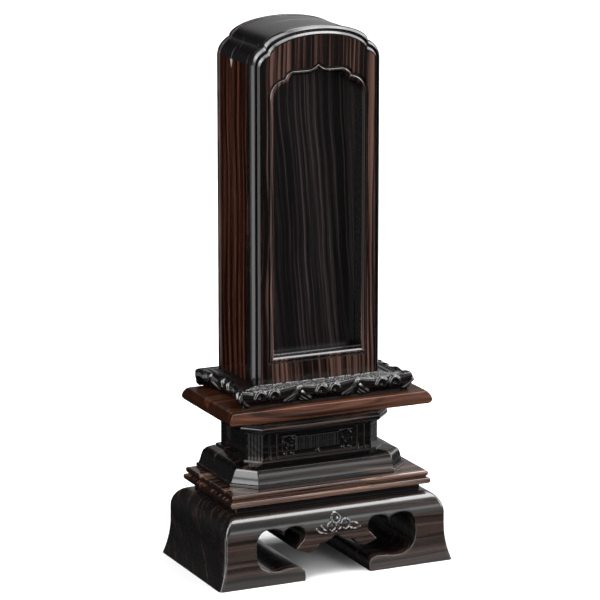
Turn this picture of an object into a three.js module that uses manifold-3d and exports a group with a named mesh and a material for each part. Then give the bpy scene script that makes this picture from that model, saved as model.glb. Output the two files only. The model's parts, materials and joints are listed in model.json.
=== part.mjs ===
// A memorial tablet box: a tiered pedestal carrying a windowed box that holds a stack of thin name slips.
// Millimetres, +Z up. The origin is on the ground at the middle of the stand, and the front faces -Y.
import * as THREE from "three";
import { mergeVertices } from "three/addons/utils/BufferGeometryUtils.js";
import Module from "manifold-3d";

// Clearances between pieces
const slidingGap = 0.2;
const looseGap = 0.3;
const dowelGap = 0.15;

// How far a cutter runs past what it cuts
const cutOvershoot = 2;

// Stand: a flared foot block, cut through from front to back
const standWidth = 88.2;
const standDepth = 51;
const standHeight = 24.4;
const standCorner = 1.2;
const flareHeight = 13;
const flareInWidth = 2.6;
const flareInDepth = 1.1;
const shoulderStart = 17;
const shoulderInset = 6;

// Scrolled opening of the stand, right half: the left half is its mirror image
const toeGap = 12.3;
const toeLean = 0.2;
const toeRounding = 2.6;
const toeLength = 3.6;
const footTop = 5.0;
const footDip = 4.4;
const footDipAcross = 21.8;
const openingReach = 30.2;
const openingWidest = 12.3;
const openingTop = 19.3;
const openingTopAcross = 25.2;
const cuspAcross = 19.9;
const cuspHeight = 16.6;
const scrollAcross = 15.3;
const scrollHeight = 15.8;
const scrollRadius = 3.5;
const scrollEnd = (200 * Math.PI) / 180;
const tailHeight = 11.1;
const apronAcross = 10.2;
const apronBottom = 9.5;
const apronStepAcross = 6.6;
const apronStep = 12.2;
const apronNotch = 14.9;

// Tiers between the stand and the box, from the bottom up
const neckHeight = 2.5;
const neckHalfWidth = 34.8;
const neckHalfDepth = 17.8;
const lowerPlateHeight = 4.7;
const lowerPlateHalfWidth = 37.8;
const lowerPlateHalfDepth = 20.7;
const slopeHeight = 7.9;
const waistHeight = 8.8;
const crownHeight = 7.2;
const upperPlateHeight = 4.7;
const upperPlateHalfWidth = 38.1;
const upperPlateHalfDepth = 21;
const trayHeight = 5.9;
const trayHalfWidth = 33.5;
const trayFront = 18;
const trayLip = 0.2;
const trayUndercut = 2.4;

// Waist: its front corners are cut at 45 degrees
const waistHalfWidth = 24.95;
const waistFront = 9.3;
const waistRear = 16.9;
const waistCut = 4.9;
const coreInset = 3.4;
const postReturn = 4.9;
const panelRecess = 0.7;
const fluteCount = 3;
const fluteDepth = 0.35;
const stripEdge = 1.65;
const stripWidth = 3.6;
const stripDepth = 0.5;
const plaqueMargin = 2.2;
const plaqueHeight = 5.8;
const plaqueThickness = 0.9;
const plaqueRibs = 18;
const ribDepth = 0.3;

// Dowels
const tierDowelRadius = 2.5;
const tierDowelAcross = 8;
const tierDowelBack = 5;
const tierDowelInStand = 8;
const tierDowelCap = 2.1;
const boxDowelRadius = 1.5;
const boxDowelEdge = 7.6;
const boxDowelBack = 7.5;
const boxDowelBelow = 3.5;
const boxDowelAbove = 3;
const dowelSides = 12;

// Box: one outline for the front cover and the rear shell
const boxHalfWidth = 23.8;
const boxHeight = 121;
const boxFront = 9.3;
const boxRear = 21.2;
const wall = 3.2;
const archRise = 6.1;
const shoulderRise = 5.8;
const shoulderWidth = 4.4;
const notchStep = 0.8;
const coverBack = 9.1;
const faceThickness = 6;
const rimWidth = 2.6;
const rimDepth = 2.1;
const rimGap = 0.1;
const backThickness = 2.5;
const backRim = 0.3;
const floorThickness = 4;
const tongueReach = 2;
const tongueRoot = 0.5;
const tongueTip = 0.8;
const nailNotchWidth = 2.2;
const nailNotchHeight = 3.4;
const nailNotchDepth = 1.1;

// Window of the front cover
const windowStile = 7.1;
const windowSill = 8.6;
const windowTopRail = 13.6;
const windowPeakRise = 1.9;
const windowHeadRise = 2.5;
const windowCuspRise = 7;
const windowCuspWidth = 5.3;
const windowBevel = 0.6;

// Slips
const slipThickness = 2.3;
const slipGap = 0.25;
const slipSideRoom = 0.8;
const slipHeadroom = 4.8;
const slipRise = 11;

// Levels worked out from the heights
const neckBottom = standHeight;
const lowerPlateBottom = neckBottom + neckHeight;
const slopeBottom = lowerPlateBottom + lowerPlateHeight;
const waistBottom = slopeBottom + slopeHeight;
const crownBottom = waistBottom + waistHeight;
const upperPlateBottom = crownBottom + crownHeight;
const trayBottom = upperPlateBottom + upperPlateHeight;
const boxBottom = trayBottom + trayHeight;
const slipBottom = boxBottom + floorThickness;
const notchHeight = boxHeight - archRise;
const notchAcross = boxHalfWidth - shoulderWidth;
const shoulderHeight = notchHeight - shoulderRise;
const windowHalfWidth = boxHalfWidth - windowStile;
const windowCuspAcross = windowHalfWidth - windowCuspWidth;
const windowPeak = boxHeight - windowTopRail;
const windowHead = windowPeak - windowPeakRise;
const windowCusp = windowHead - windowHeadRise;
const windowSpring = windowCusp - windowCuspRise;
const innerHalfWidth = boxHalfWidth - wall;
const boxDowelAcross = innerHalfWidth - boxDowelEdge;
const coverInside = -boxFront + faceThickness;
const backInside = boxRear - backThickness;
const shellFront = coverBack + slidingGap;
const trayRear = boxRear + trayLip;
const slipPitch = slipThickness + slipGap;
const slipCount = Math.floor((backInside - coverInside - 2 * looseGap + slipGap) / slipPitch);
const slipHalfWidth = innerHalfWidth - slipSideRoom;
const slipSpring = boxHeight - wall - slipHeadroom - slipRise;

const wasm = await Module();
wasm.setup();

const colours = {
  darkWood: { color: 0x1d1514, roughness: 0.28, metalness: 0 },
  brownWood: { color: 0x5a3a2c, roughness: 0.3, metalness: 0 },
  stripedWood: { color: 0x4a3029, roughness: 0.26, metalness: 0 },
  slipWood: { color: 0x2b2a29, roughness: 0.4, metalness: 0 },
  plainWood: { color: 0x9a7650, roughness: 0.7, metalness: 0 },
};

const model = new THREE.Group();

function add(name, geometry, colour) {
  const mesh = new THREE.Mesh(geometry, new THREE.MeshStandardMaterial(colours[colour]));
  mesh.name = name;
  model.add(mesh);
}

// A closed body through rings of [x, y, z] points, with flat ends in the shapes of two outlines. Seen from
// the last ring, the points run anticlockwise.
function loft(rings, firstOutline, lastOutline) {
  const count = firstOutline.length;
  const index = [];
  for (let level = 0; level + 1 < rings.length; level += 1) {
    for (let i = 0; i < count; i += 1) {
      const next = (i + 1) % count;
      const low = level * count;
      const high = low + count;
      index.push(low + i, low + next, high + next, low + i, high + next, high + i);
    }
  }
  const top = (rings.length - 1) * count;
  for (const [a, b, c] of THREE.ShapeUtils.triangulateShape(firstOutline, [])) {
    index.push(a, c, b);
  }
  for (const [a, b, c] of THREE.ShapeUtils.triangulateShape(lastOutline, [])) {
    index.push(top + a, top + b, top + c);
  }
  const geometry = new THREE.BufferGeometry();
  geometry.setAttribute("position", new THREE.Float32BufferAttribute(rings.flat(2), 3));
  geometry.setIndex(index);
  return geometry;
}

// Rings of equal point count, each running anticlockwise at its own height.
function stack(rings) {
  const levels = rings.map(({ outline, at }) => outline.map((p) => [p.x, p.y, at]));
  return loft(levels, rings[0].outline, rings.at(-1).outline);
}

// Rings drawn in the front view, X across and Z up, set at depths along Y.
function stackInDepth(rings) {
  const turned = rings.map(({ outline, y }) => ({ outline, at: -y }));
  return stack(turned).rotateX(Math.PI / 2);
}

// A front-view outline carried straight from one depth to another.
function slab(outline, front, back) {
  return stackInDepth([{ outline, y: back }, { outline, y: front }]);
}

// A plan outline carried straight up.
function prism(outline, bottom, top) {
  return stack([{ outline, at: bottom }, { outline, at: top }]);
}

function block(x0, x1, y0, y1, z0, z1) {
  const geometry = new THREE.BoxGeometry(x1 - x0, y1 - y0, z1 - z0);
  return geometry.translate((x0 + x1) / 2, (y0 + y1) / 2, (z0 + z1) / 2);
}

function post(x, y, z0, z1, radius) {
  const geometry = new THREE.CylinderGeometry(radius, radius, z1 - z0, dowelSides);
  return geometry.rotateX(Math.PI / 2).translate(x, y, (z0 + z1) / 2);
}

function toSolid(geometry) {
  const bare = geometry.clone();
  bare.deleteAttribute("normal");
  bare.deleteAttribute("uv");
  const merged = mergeVertices(bare, 1e-5);
  const mesh = new wasm.Mesh({
    numProp: 3,
    vertProperties: new Float32Array(merged.attributes.position.array),
    triVerts: new Uint32Array(merged.index.array),
  });
  return new wasm.Manifold(mesh);
}

function fromSolid(solid) {
  const mesh = solid.getMesh();
  const geometry = new THREE.BufferGeometry();
  geometry.setAttribute("position", new THREE.BufferAttribute(mesh.vertProperties, 3));
  geometry.setIndex(new THREE.BufferAttribute(mesh.triVerts, 1));
  return geometry;
}

function cut(geometry, cutters) {
  const whole = toSolid(geometry);
  return fromSolid(cutters.reduce((solid, cutter) => solid.subtract(toSolid(cutter)), whole));
}

function join(geometry, others) {
  const whole = toSolid(geometry);
  return fromSolid(others.reduce((solid, other) => solid.add(toSolid(other)), whole));
}

function points(pairs) {
  return pairs.map(([x, y]) => new THREE.Vector2(x, y));
}

// A right-hand chain of points from the bottom to the middle of the top, closed by its mirror image.
function mirrored(rightHalf) {
  const leftHalf = rightHalf.filter((p) => p.x > 0).map((p) => new THREE.Vector2(-p.x, p.y));
  return [...rightHalf, ...leftHalf.reverse()];
}

// A plan drawn for the right-hand piece, mirrored for the left-hand one.
function handed(rightPlan, side) {
  return side > 0 ? rightPlan : rightPlan.map((p) => new THREE.Vector2(-p.x, p.y)).reverse();
}

function bend(from, control, to, divisions) {
  const curve = new THREE.QuadraticBezierCurve(...points([from, control, to]));
  return curve.getPoints(divisions).slice(1);
}

// Plan of a board with its two front corners cut at 45 degrees.
function cutPlan({ halfWidth, front, rear, corner }) {
  return points([
    [-halfWidth + corner, -front],
    [halfWidth - corner, -front],
    [halfWidth, -front + corner],
    [halfWidth, rear],
    [-halfWidth, rear],
    [-halfWidth, -front + corner],
  ]);
}

function rectanglePlan(halfWidth, front, rear) {
  return points([[-halfWidth, -front], [halfWidth, -front], [halfWidth, rear], [-halfWidth, rear]]);
}

function roundedPlan(halfWidth, halfDepth, radius) {
  const corners = [[1, 1], [-1, 1], [-1, -1], [1, -1]];
  return corners.flatMap(([sideX, sideY], quarter) => {
    const x = sideX * (halfWidth - radius);
    const y = sideY * (halfDepth - radius);
    const start = (quarter * Math.PI) / 2;
    return new THREE.EllipseCurve(x, y, radius, radius, start, start + Math.PI / 2, false).getPoints(3);
  });
}

function tierDowelHoles(z0, z1) {
  const radius = tierDowelRadius + dowelGap;
  return [-1, 1].map((side) => post(side * tierDowelAcross, tierDowelBack, z0, z1, radius));
}

function boxDowelHoles(z0, z1) {
  const radius = boxDowelRadius + dowelGap;
  return [-1, 1].map((side) => post(side * boxDowelAcross, boxDowelBack, z0, z1, radius));
}

// How far the stand's side lies inside its base edge: a concave flare, then a rounded shoulder.
function standInset(z, flare) {
  const low = Math.min(z / flareHeight, 1);
  const high = Math.max((z - shoulderStart) / (standHeight - shoulderStart), 0);
  return flare * (1 - (1 - low) ** 2) + shoulderInset * (1 - Math.sqrt(1 - high ** 2));
}

function standOpening() {
  const toe = [toeGap - toeLean, footTop - toeRounding];
  const toeEnd = [toeGap + toeLength, footTop];
  const dip = [footDipAcross, footDip];
  const widest = [openingReach, openingWidest];
  const top = [openingTopAcross, openingTop];
  const cusp = [cuspAcross, cuspHeight];
  const scrollTop = [scrollAcross, scrollHeight + scrollRadius];
  const tail = [scrollAcross, tailHeight];
  const apron = [apronAcross, apronBottom];
  const step = [apronStepAcross, apronStep];
  const notch = [0, apronNotch];
  const scroll = new THREE.EllipseCurve(
    scrollAcross, scrollHeight, scrollRadius, scrollRadius, Math.PI / 2, scrollEnd, false);
  return mirrored([
    ...points([[toeGap, -cutOvershoot], [toeGap, 0], toe]),
    ...bend(toe, [toe[0], footTop], toeEnd, 4),
    ...points([dip]),
    ...bend(dip, [openingReach, footDip], widest, 6),
    ...bend(widest, [openingReach, openingTop], top, 5),
    ...bend(top, [cuspAcross, openingTop], cusp, 3),
    ...bend(cusp, [cuspAcross, scrollTop[1]], scrollTop, 4),
    ...scroll.getPoints(5).slice(1),
    ...points([tail]),
    ...bend(tail, [tail[0] - scrollRadius, apronBottom], apron, 3),
    ...bend(apron, [step[0] + 1, apronBottom], step, 2),
    ...bend(step, [step[0] / 2, apronStep], notch, 3),
  ]);
}

function makeStand() {
  const levels = [0, 2, 4.5, 8, flareHeight, shoulderStart, 20, 22.2, 23.6, standHeight];
  const body = stack(levels.map((z) => ({
    outline: roundedPlan(
      standWidth / 2 - standInset(z, flareInWidth), standDepth / 2 - standInset(z, flareInDepth), standCorner),
    at: z,
  })));
  const opening = slab(standOpening(), -standDepth / 2 - cutOvershoot, standDepth / 2 + cutOvershoot);
  const holes = tierDowelHoles(standHeight - tierDowelInStand - looseGap, standHeight + cutOvershoot);
  return cut(body, [opening, ...holes]);
}

// Steps from the bottom of a moulded board to its top: [height, inset from its widest].
function mouldedBoard(bottom, steps, plan) {
  const body = stack(steps.map(([height, inset]) => ({ outline: plan(inset), at: bottom + height })));
  return cut(body, tierDowelHoles(bottom - cutOvershoot, bottom + steps.at(-1)[0] + cutOvershoot));
}

function makeNeck() {
  return mouldedBoard(neckBottom, [[0, 0], [neckHeight, 0]],
    (inset) => rectanglePlan(neckHalfWidth - inset, neckHalfDepth - inset, neckHalfDepth - inset));
}

function makeLowerPlate() {
  const steps = [[0, 1.1], [0.35, 0.35], [1.1, 0], [1.9, 0.35], [2.3, 1.1], [2.6, 1.2],
    [2.9, 0.9], [3.6, 0.6], [4.3, 0.8], [lowerPlateHeight, 1.4]];
  return mouldedBoard(lowerPlateBottom, steps, (inset) => rectanglePlan(
    lowerPlateHalfWidth - inset, lowerPlateHalfDepth - inset, lowerPlateHalfDepth - inset));
}

// The slope grows outwards from the waist: [height, outset at the side, at the front, at the rear, and how
// much more of the corner is cut off].
function makeSlopeBlock() {
  const steps = [
    [0, 8.3, 7.3, 2.8, 2.7],
    [1.1, 8.3, 7.3, 2.8, 2.7],
    [1.3, 7.6, 6.7, 2.3, 2.3],
    [2.4, 7.2, 6.2, 2.2, 1.8],
    [3.8, 6.9, 5.9, 2.1, 1.1],
    [5.7, 6.2, 5.4, 2.0, 0],
    [6.7, 4.6, 4.0, 1.7, -0.2],
    [7.2, 2.2, 2.0, 1.3, -0.1],
    [7.3, 1.6, 1.5, 1.0, 0],
    [slopeHeight, 1.6, 1.5, 1.0, 0],
  ];
  const body = stack(steps.map(([height, side, front, rear, corner]) => ({
    outline: cutPlan({
      halfWidth: waistHalfWidth + side,
      front: waistFront + front,
      rear: waistRear + rear,
      corner: waistCut + corner,
    }),
    at: slopeBottom + height,
  })));
  return cut(body, tierDowelHoles(slopeBottom - cutOvershoot, waistBottom + cutOvershoot));
}

function makeWaistCore() {
  const body = block(-waistHalfWidth + coreInset, waistHalfWidth - coreInset,
    -waistFront + coreInset, waistRear - coreInset, waistBottom, crownBottom);
  return cut(body, tierDowelHoles(waistBottom - cutOvershoot, crownBottom + cutOvershoot));
}

// A corner pilaster hugs the core; flutes run up its cut face.
function pilasterPlan(side) {
  const outer = waistHalfWidth;
  const inner = waistHalfWidth - coreInset;
  const faceStart = new THREE.Vector2(outer - waistCut, -waistFront);
  const faceEnd = new THREE.Vector2(outer, -waistFront + waistCut);
  const along = faceEnd.clone().sub(faceStart);
  const inward = new THREE.Vector2(-1, 1).normalize();
  const margin = 0.1;
  const face = [faceStart];
  const samples = fluteCount * 4;
  for (let i = 0; i <= samples; i += 1) {
    const share = i / samples;
    const depth = fluteDepth * Math.abs(Math.sin(Math.PI * share * fluteCount));
    const at = margin + (1 - 2 * margin) * share;
    face.push(faceStart.clone().addScaledVector(along, at).addScaledVector(inward, depth));
  }
  face.push(faceEnd);
  const back = points([
    [inner, -waistFront + waistCut],
    [inner, -waistFront + coreInset],
    [outer - waistCut, -waistFront + coreInset],
  ]);
  return handed([...face, ...back], side);
}

function rearPostPlan(side) {
  const outer = waistHalfWidth;
  const inner = waistHalfWidth - coreInset;
  const right = points([
    [outer, waistRear - postReturn],
    [outer, waistRear],
    [outer - postReturn, waistRear],
    [outer - postReturn, waistRear - coreInset],
    [inner, waistRear - coreInset],
    [inner, waistRear - postReturn],
  ]);
  return handed(right, side);
}

function makeFrontPanel() {
  const edge = waistHalfWidth - waistCut;
  const face = -waistFront + panelRecess;
  const board = block(-edge, edge, face, -waistFront + coreInset, waistBottom, crownBottom);
  const middle = edge - stripEdge - stripWidth / 2;
  const strips = [-1, 1].map((side) => block(side * middle - stripWidth / 2, side * middle + stripWidth / 2,
    face - stripDepth, face + stripDepth, waistBottom, crownBottom));
  return join(board, strips);
}

// Rounded vertical ribs across the front of the plaque.
function makePlaque() {
  const plaqueHalfWidth = waistHalfWidth - waistCut - stripEdge - stripWidth - plaqueMargin;
  const back = -waistFront + panelRecess;
  const samples = plaqueRibs * 3;
  const front = [];
  for (let i = 0; i <= samples; i += 1) {
    const share = i / samples;
    const swell = ribDepth * Math.abs(Math.sin(Math.PI * share * plaqueRibs));
    front.push([-plaqueHalfWidth + 2 * plaqueHalfWidth * share, back - plaqueThickness + ribDepth - swell]);
  }
  const plan = points([...front, [plaqueHalfWidth, back], [-plaqueHalfWidth, back]]);
  const middle = (waistBottom + crownBottom) / 2;
  return prism(plan, middle - plaqueHeight / 2, middle + plaqueHeight / 2);
}

// The crown grows outwards from the waist: [height, outset].
function makeCrown() {
  const steps = [[0, 0.8], [0.6, 0.8], [0.7, 1.8], [1.1, 2.5], [1.8, 2.9], [2.8, 3.0], [3.3, 2.8],
    [3.5, 2.3], [4.3, 2.6], [5.2, 3.5], [6.2, 5.2], [crownHeight, 6.6]];
  const body = stack(steps.map(([height, outset]) => ({
    outline: cutPlan({
      halfWidth: waistHalfWidth + outset,
      front: waistFront + outset,
      rear: waistRear + outset / 2,
      corner: waistCut + outset * 0.3,
    }),
    at: crownBottom + height,
  })));
  return cut(body, tierDowelHoles(crownBottom - cutOvershoot, upperPlateBottom + cutOvershoot));
}

function makeUpperPlate() {
  const steps = [[0, 1.7], [0.3, 0.7], [1, 0.1], [1.6, 0], [2.4, 0.3], [3, 0.9], [3.1, 1.2],
    [4.1, 1.2], [4.5, 1.6], [upperPlateHeight, 2.2]];
  return mouldedBoard(upperPlateBottom, steps, (inset) => rectanglePlan(
    upperPlateHalfWidth - inset, upperPlateHalfDepth - inset, upperPlateHalfDepth - inset));
}

// An ogee in section: a straight rim over a hollow, standing on a narrower foot.
function makeTray() {
  const steps = [[0, trayUndercut + 0.2], [1, trayUndercut], [1.9, trayUndercut - 0.6],
    [2.6, 1], [3.4, 0.3], [4.2, 0], [trayHeight, 0]];
  const body = stack(steps.map(([height, inset]) => ({
    outline: rectanglePlan(trayHalfWidth - inset, trayFront - inset, trayRear - inset / 4),
    at: trayBottom + height,
  })));
  const tierHoles = tierDowelHoles(trayBottom - cutOvershoot, boxBottom - tierDowelCap + looseGap);
  const boxHoles = boxDowelHoles(boxBottom - boxDowelBelow - looseGap, boxBottom + cutOvershoot);
  return cut(body, [...tierHoles, ...boxHoles]);
}

// Right half of the box outline in the front view, measured from the foot of the box and drawn in by
// an inset: straight side, rounded shoulder, small step, then the arch up to the crown.
function boxHalf(inset, from) {
  const half = boxHalfWidth - inset;
  const spring = shoulderHeight - 0.06 * inset;
  const notch = [notchAcross - 0.64 * inset, notchHeight - 1.1 * inset];
  const archStart = [notch[0] - 0.2, notch[1] + notchStep];
  const crown = [0, boxHeight - inset];
  const arch = new THREE.CubicBezierCurve(...points([
    archStart,
    [archStart[0] - 2, notch[1] + 4],
    [notchAcross * 0.46, boxHeight - inset],
    crown,
  ]));
  return [
    ...points([[half, from], [half, spring]]),
    ...bend([half, spring], [half - 0.4, spring + (notch[1] - spring) * 0.66], notch, 5),
    ...arch.getPoints(8),
  ];
}

function boxOutline(inset) {
  return mirrored(boxHalf(inset, 0));
}

function lifted(outline) {
  return outline.map((p) => new THREE.Vector2(p.x, p.y + boxBottom));
}

function windowOutline(grow) {
  const side = windowHalfWidth;
  const right = points([[side, windowSill], [side, windowSpring]]);
  right.push(...bend([side, windowSpring], [side - 0.1, windowCusp - 1.1], [windowCuspAcross, windowCusp], 5));
  right.push(...bend([windowCuspAcross, windowCusp], [10.6, windowHead - 0.3], [8.4, windowHead], 3));
  right.push(...points([[3.6, windowHead]]));
  right.push(...bend([3.6, windowHead], [1.4, windowHead + 0.2], [0, windowPeak], 3));
  const middle = (windowSill + windowPeak) / 2;
  const wider = 1 + grow / side;
  const taller = 1 + grow / (middle - windowSill);
  return mirrored(right.map((p) => new THREE.Vector2(p.x * wider, middle + (p.y - middle) * taller)));
}

// Bevelled towards the front, straight behind.
function windowCutter() {
  return stackInDepth([
    { outline: lifted(windowOutline(0)), y: coverInside + cutOvershoot },
    { outline: lifted(windowOutline(0)), y: -boxFront + windowBevel },
    { outline: lifted(windowOutline(2 * windowBevel)), y: -boxFront - windowBevel },
  ]);
}

function makeCoverFace() {
  return cut(slab(lifted(boxOutline(rimWidth + rimGap)), -boxFront, coverInside), [windowCutter()]);
}

// Section of the rim from the outside in: [inset, y]. A bead, a groove and a smaller bead step up to the
// face, which stands proud of the corner.
const rimCorner = -boxFront + rimDepth;
const rimSection = [
  [0, coverInside],
  [0, rimCorner],
  [0.2 * rimWidth, rimCorner - 0.43 * rimDepth],
  [0.42 * rimWidth, rimCorner - 0.48 * rimDepth],
  [0.54 * rimWidth, rimCorner - 0.28 * rimDepth],
  [0.65 * rimWidth, rimCorner - 0.52 * rimDepth],
  [0.81 * rimWidth, rimCorner - 0.95 * rimDepth],
  [rimWidth, -boxFront],
  [rimWidth, coverInside],
];

function makeRimSide(side) {
  const plan = points(rimSection.map(([inset, y]) => [boxHalfWidth - inset, y])).reverse();
  return prism(handed(plan, side), boxBottom, boxBottom + shoulderHeight);
}

// The section carried along the arch, from the left shoulder over the crown to the right one.
function makeRimArch() {
  const lines = rimSection.map(([inset]) => {
    const [, ...half] = boxHalf(inset, shoulderHeight);
    half[0].y = shoulderHeight;
    return [...half.map((p) => new THREE.Vector2(-p.x, p.y)), ...half.slice(0, -1).reverse()];
  });
  const rings = lines[0].map((_, place) => rimSection.map(([, y], i) => {
    const point = lines[i][place];
    return [point.x, y, point.y + boxBottom];
  }));
  return loft(rings, points(rimSection), points(rimSection));
}

// A small notch for a fingernail, half in the cover and half in the shell, under each shoulder.
function nailNotch(side) {
  const seam = coverBack + slidingGap / 2;
  const top = boxBottom + shoulderHeight;
  const plan = points([
    [seam - nailNotchWidth / 2, top],
    [seam, top - nailNotchHeight],
    [seam + nailNotchWidth / 2, top],
    [seam, top + cutOvershoot],
  ]);
  const length = nailNotchDepth + cutOvershoot;
  const turn = new THREE.Matrix4().makeBasis(
    new THREE.Vector3(0, 1, 0), new THREE.Vector3(0, 0, 1), new THREE.Vector3(1, 0, 0));
  const wedge = prism(plan, 0, length);
  const start = side > 0 ? boxHalfWidth - nailNotchDepth : -boxHalfWidth - cutOvershoot;
  return wedge.applyMatrix4(turn).translate(start, 0, 0);
}

// Dovetail section centred in the wall, from the seam at y towards the front.
function dovetail(y, reach, grow) {
  const middle = boxHalfWidth - wall / 2;
  return [
    [middle + tongueRoot + grow, y],
    [middle + tongueTip + grow, y - reach],
    [middle - tongueTip - grow, y - reach],
    [middle - tongueRoot - grow, y],
  ];
}

function makeCoverSide(side) {
  const groove = dovetail(coverBack, tongueReach - slidingGap + looseGap, slidingGap);
  const plan = points([
    [innerHalfWidth, coverInside],
    [boxHalfWidth, coverInside],
    [boxHalfWidth, coverBack],
    ...groove,
    [innerHalfWidth, coverBack],
  ]);
  return cut(prism(handed(plan, side), boxBottom, boxBottom + shoulderHeight), [nailNotch(side)]);
}

function makeShellSide(side) {
  const tongue = dovetail(shellFront, tongueReach, 0).reverse();
  const plan = points([
    [innerHalfWidth, shellFront],
    ...tongue,
    [boxHalfWidth, shellFront],
    [boxHalfWidth, backInside],
    [innerHalfWidth, backInside],
  ]);
  return cut(prism(handed(plan, side), boxBottom, boxBottom + shoulderHeight), [nailNotch(side)]);
}

// The arched top of the box: the outline above the shoulder line with the same outline, inset by the
// wall, taken out of it.
function makeRoof(front, back) {
  const outer = mirrored(boxHalf(0, shoulderHeight).slice(1));
  const inner = mirrored(boxHalf(wall, shoulderHeight - cutOvershoot));
  return cut(slab(lifted(outer), front, back), [slab(lifted(inner), front - cutOvershoot, back + cutOvershoot)]);
}

function makeBackBoard() {
  const rings = [[0.2, backInside], [-backRim, backInside + 0.5], [-backRim, boxRear - 0.6], [0.3, boxRear]];
  return stackInDepth(rings.map(([inset, y]) => ({ outline: lifted(boxOutline(inset)), y })).reverse());
}

function makeBoxFloor() {
  const half = innerHalfWidth - looseGap;
  const board = block(-half, half, coverInside + looseGap, backInside, boxBottom, slipBottom);
  return cut(board, boxDowelHoles(boxBottom - cutOvershoot, boxBottom + boxDowelAbove + looseGap));
}

function slipOutline() {
  const bottom = floorThickness;
  const top = new THREE.EllipseCurve(0, slipSpring, slipHalfWidth, slipRise, 0, Math.PI / 2, false);
  return mirrored([...points([[slipHalfWidth, bottom]]), ...top.getPoints(7)].map(
    (p) => (Math.abs(p.x) < 1e-6 ? new THREE.Vector2(0, p.y) : p)));
}

add("stand", makeStand(), "darkWood");
add("neck_board", makeNeck(), "darkWood");
add("lower_plate", makeLowerPlate(), "brownWood");
add("slope_block", makeSlopeBlock(), "darkWood");
add("waist_core", makeWaistCore(), "darkWood");
for (const [label, side] of [["left", -1], ["right", 1]]) {
  add(`pilaster_front_${label}`, prism(pilasterPlan(side), waistBottom, crownBottom), "darkWood");
  add(`post_rear_${label}`, prism(rearPostPlan(side), waistBottom, crownBottom), "darkWood");
  const outer = side * (waistHalfWidth - panelRecess);
  const inner = side * (waistHalfWidth - coreInset);
  const panel = block(Math.min(outer, inner), Math.max(outer, inner),
    -waistFront + waistCut, waistRear - postReturn, waistBottom, crownBottom);
  add(`waist_panel_${label}`, panel, "darkWood");
}
add("waist_panel_front", makeFrontPanel(), "darkWood");
add("waist_plaque", makePlaque(), "darkWood");
add("waist_panel_back", block(-waistHalfWidth + postReturn, waistHalfWidth - postReturn,
  waistRear - coreInset, waistRear - panelRecess, waistBottom, crownBottom), "darkWood");
add("crown_moulding", makeCrown(), "darkWood");
add("upper_plate", makeUpperPlate(), "brownWood");
add("petal_tray", makeTray(), "darkWood");

for (const [label, side] of [["left", -1], ["right", 1]]) {
  add(`tier_dowel_${label}`, post(side * tierDowelAcross, tierDowelBack,
    standHeight - tierDowelInStand, boxBottom - tierDowelCap, tierDowelRadius), "plainWood");
  add(`box_dowel_${label}`, post(side * boxDowelAcross, boxDowelBack,
    boxBottom - boxDowelBelow, boxBottom + boxDowelAbove, boxDowelRadius), "plainWood");
}

add("box_floor", makeBoxFloor(), "plainWood");
add("shell_back_board", makeBackBoard(), "stripedWood");
add("shell_side_left", makeShellSide(-1), "stripedWood");
add("shell_side_right", makeShellSide(1), "stripedWood");
add("shell_roof", makeRoof(shellFront, backInside), "darkWood");
add("cover_face", makeCoverFace(), "stripedWood");
add("cover_rim_left", makeRimSide(-1), "stripedWood");
add("cover_rim_right", makeRimSide(1), "stripedWood");
add("cover_rim_arch", makeRimArch(), "stripedWood");
add("cover_side_left", makeCoverSide(-1), "stripedWood");
add("cover_side_right", makeCoverSide(1), "stripedWood");
add("cover_roof", makeRoof(coverInside, coverBack), "darkWood");

for (let i = 0; i < slipCount; i += 1) {
  const front = coverInside + looseGap + i * slipPitch;
  add(`slip_${i + 1}`, slab(lifted(slipOutline()), front, front + slipThickness), "slipWood");
}

export default model;
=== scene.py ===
"""Looks of a memorial tablet box: lacquered striped ebony, carved tray, scroll-cut stand.

Every length in this file is in millimetres until a mesh is made, where MM turns it into metres.
The origin is on the ground at the middle of the stand, +Z is up and the front faces -Y.
"""

import json
import logging
import math
from collections.abc import Callable
from dataclasses import dataclass
from enum import Enum

import bmesh
import bpy
import numpy as np
from mathutils import Matrix, Vector
from mathutils.geometry import delaunay_2d_cdt


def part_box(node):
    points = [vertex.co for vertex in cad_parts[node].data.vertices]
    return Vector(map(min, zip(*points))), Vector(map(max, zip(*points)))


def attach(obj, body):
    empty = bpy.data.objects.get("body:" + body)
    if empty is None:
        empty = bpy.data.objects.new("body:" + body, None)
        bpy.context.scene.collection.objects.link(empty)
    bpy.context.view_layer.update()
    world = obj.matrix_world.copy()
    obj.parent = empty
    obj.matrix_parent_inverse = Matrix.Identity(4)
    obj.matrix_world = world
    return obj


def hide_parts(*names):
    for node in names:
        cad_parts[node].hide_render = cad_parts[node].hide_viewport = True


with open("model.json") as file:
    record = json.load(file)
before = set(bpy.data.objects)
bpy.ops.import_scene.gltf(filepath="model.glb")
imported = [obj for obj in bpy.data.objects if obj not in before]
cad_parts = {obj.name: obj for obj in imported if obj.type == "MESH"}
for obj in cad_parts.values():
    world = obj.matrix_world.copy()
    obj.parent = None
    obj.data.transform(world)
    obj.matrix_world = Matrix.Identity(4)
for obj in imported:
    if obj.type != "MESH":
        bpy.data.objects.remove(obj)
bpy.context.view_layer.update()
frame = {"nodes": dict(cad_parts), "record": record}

MM = 0.001
QUARTER = math.pi / 2
PEDESTAL = "pedestal_and_shell"
COVER = "front_cover"
Points = np.ndarray | list
Colour = tuple[float, float, float]
log = logging.getLogger("tablet_box")


class Grain(Enum):
    """Which way a board's grain runs: the turn about Y that lays it on the Z axis, and its direction."""

    UPRIGHT = (0.0, (0.0, 0.0, 1.0))
    ACROSS = (QUARTER, (1.0, 0.0, 0.0))


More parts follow.
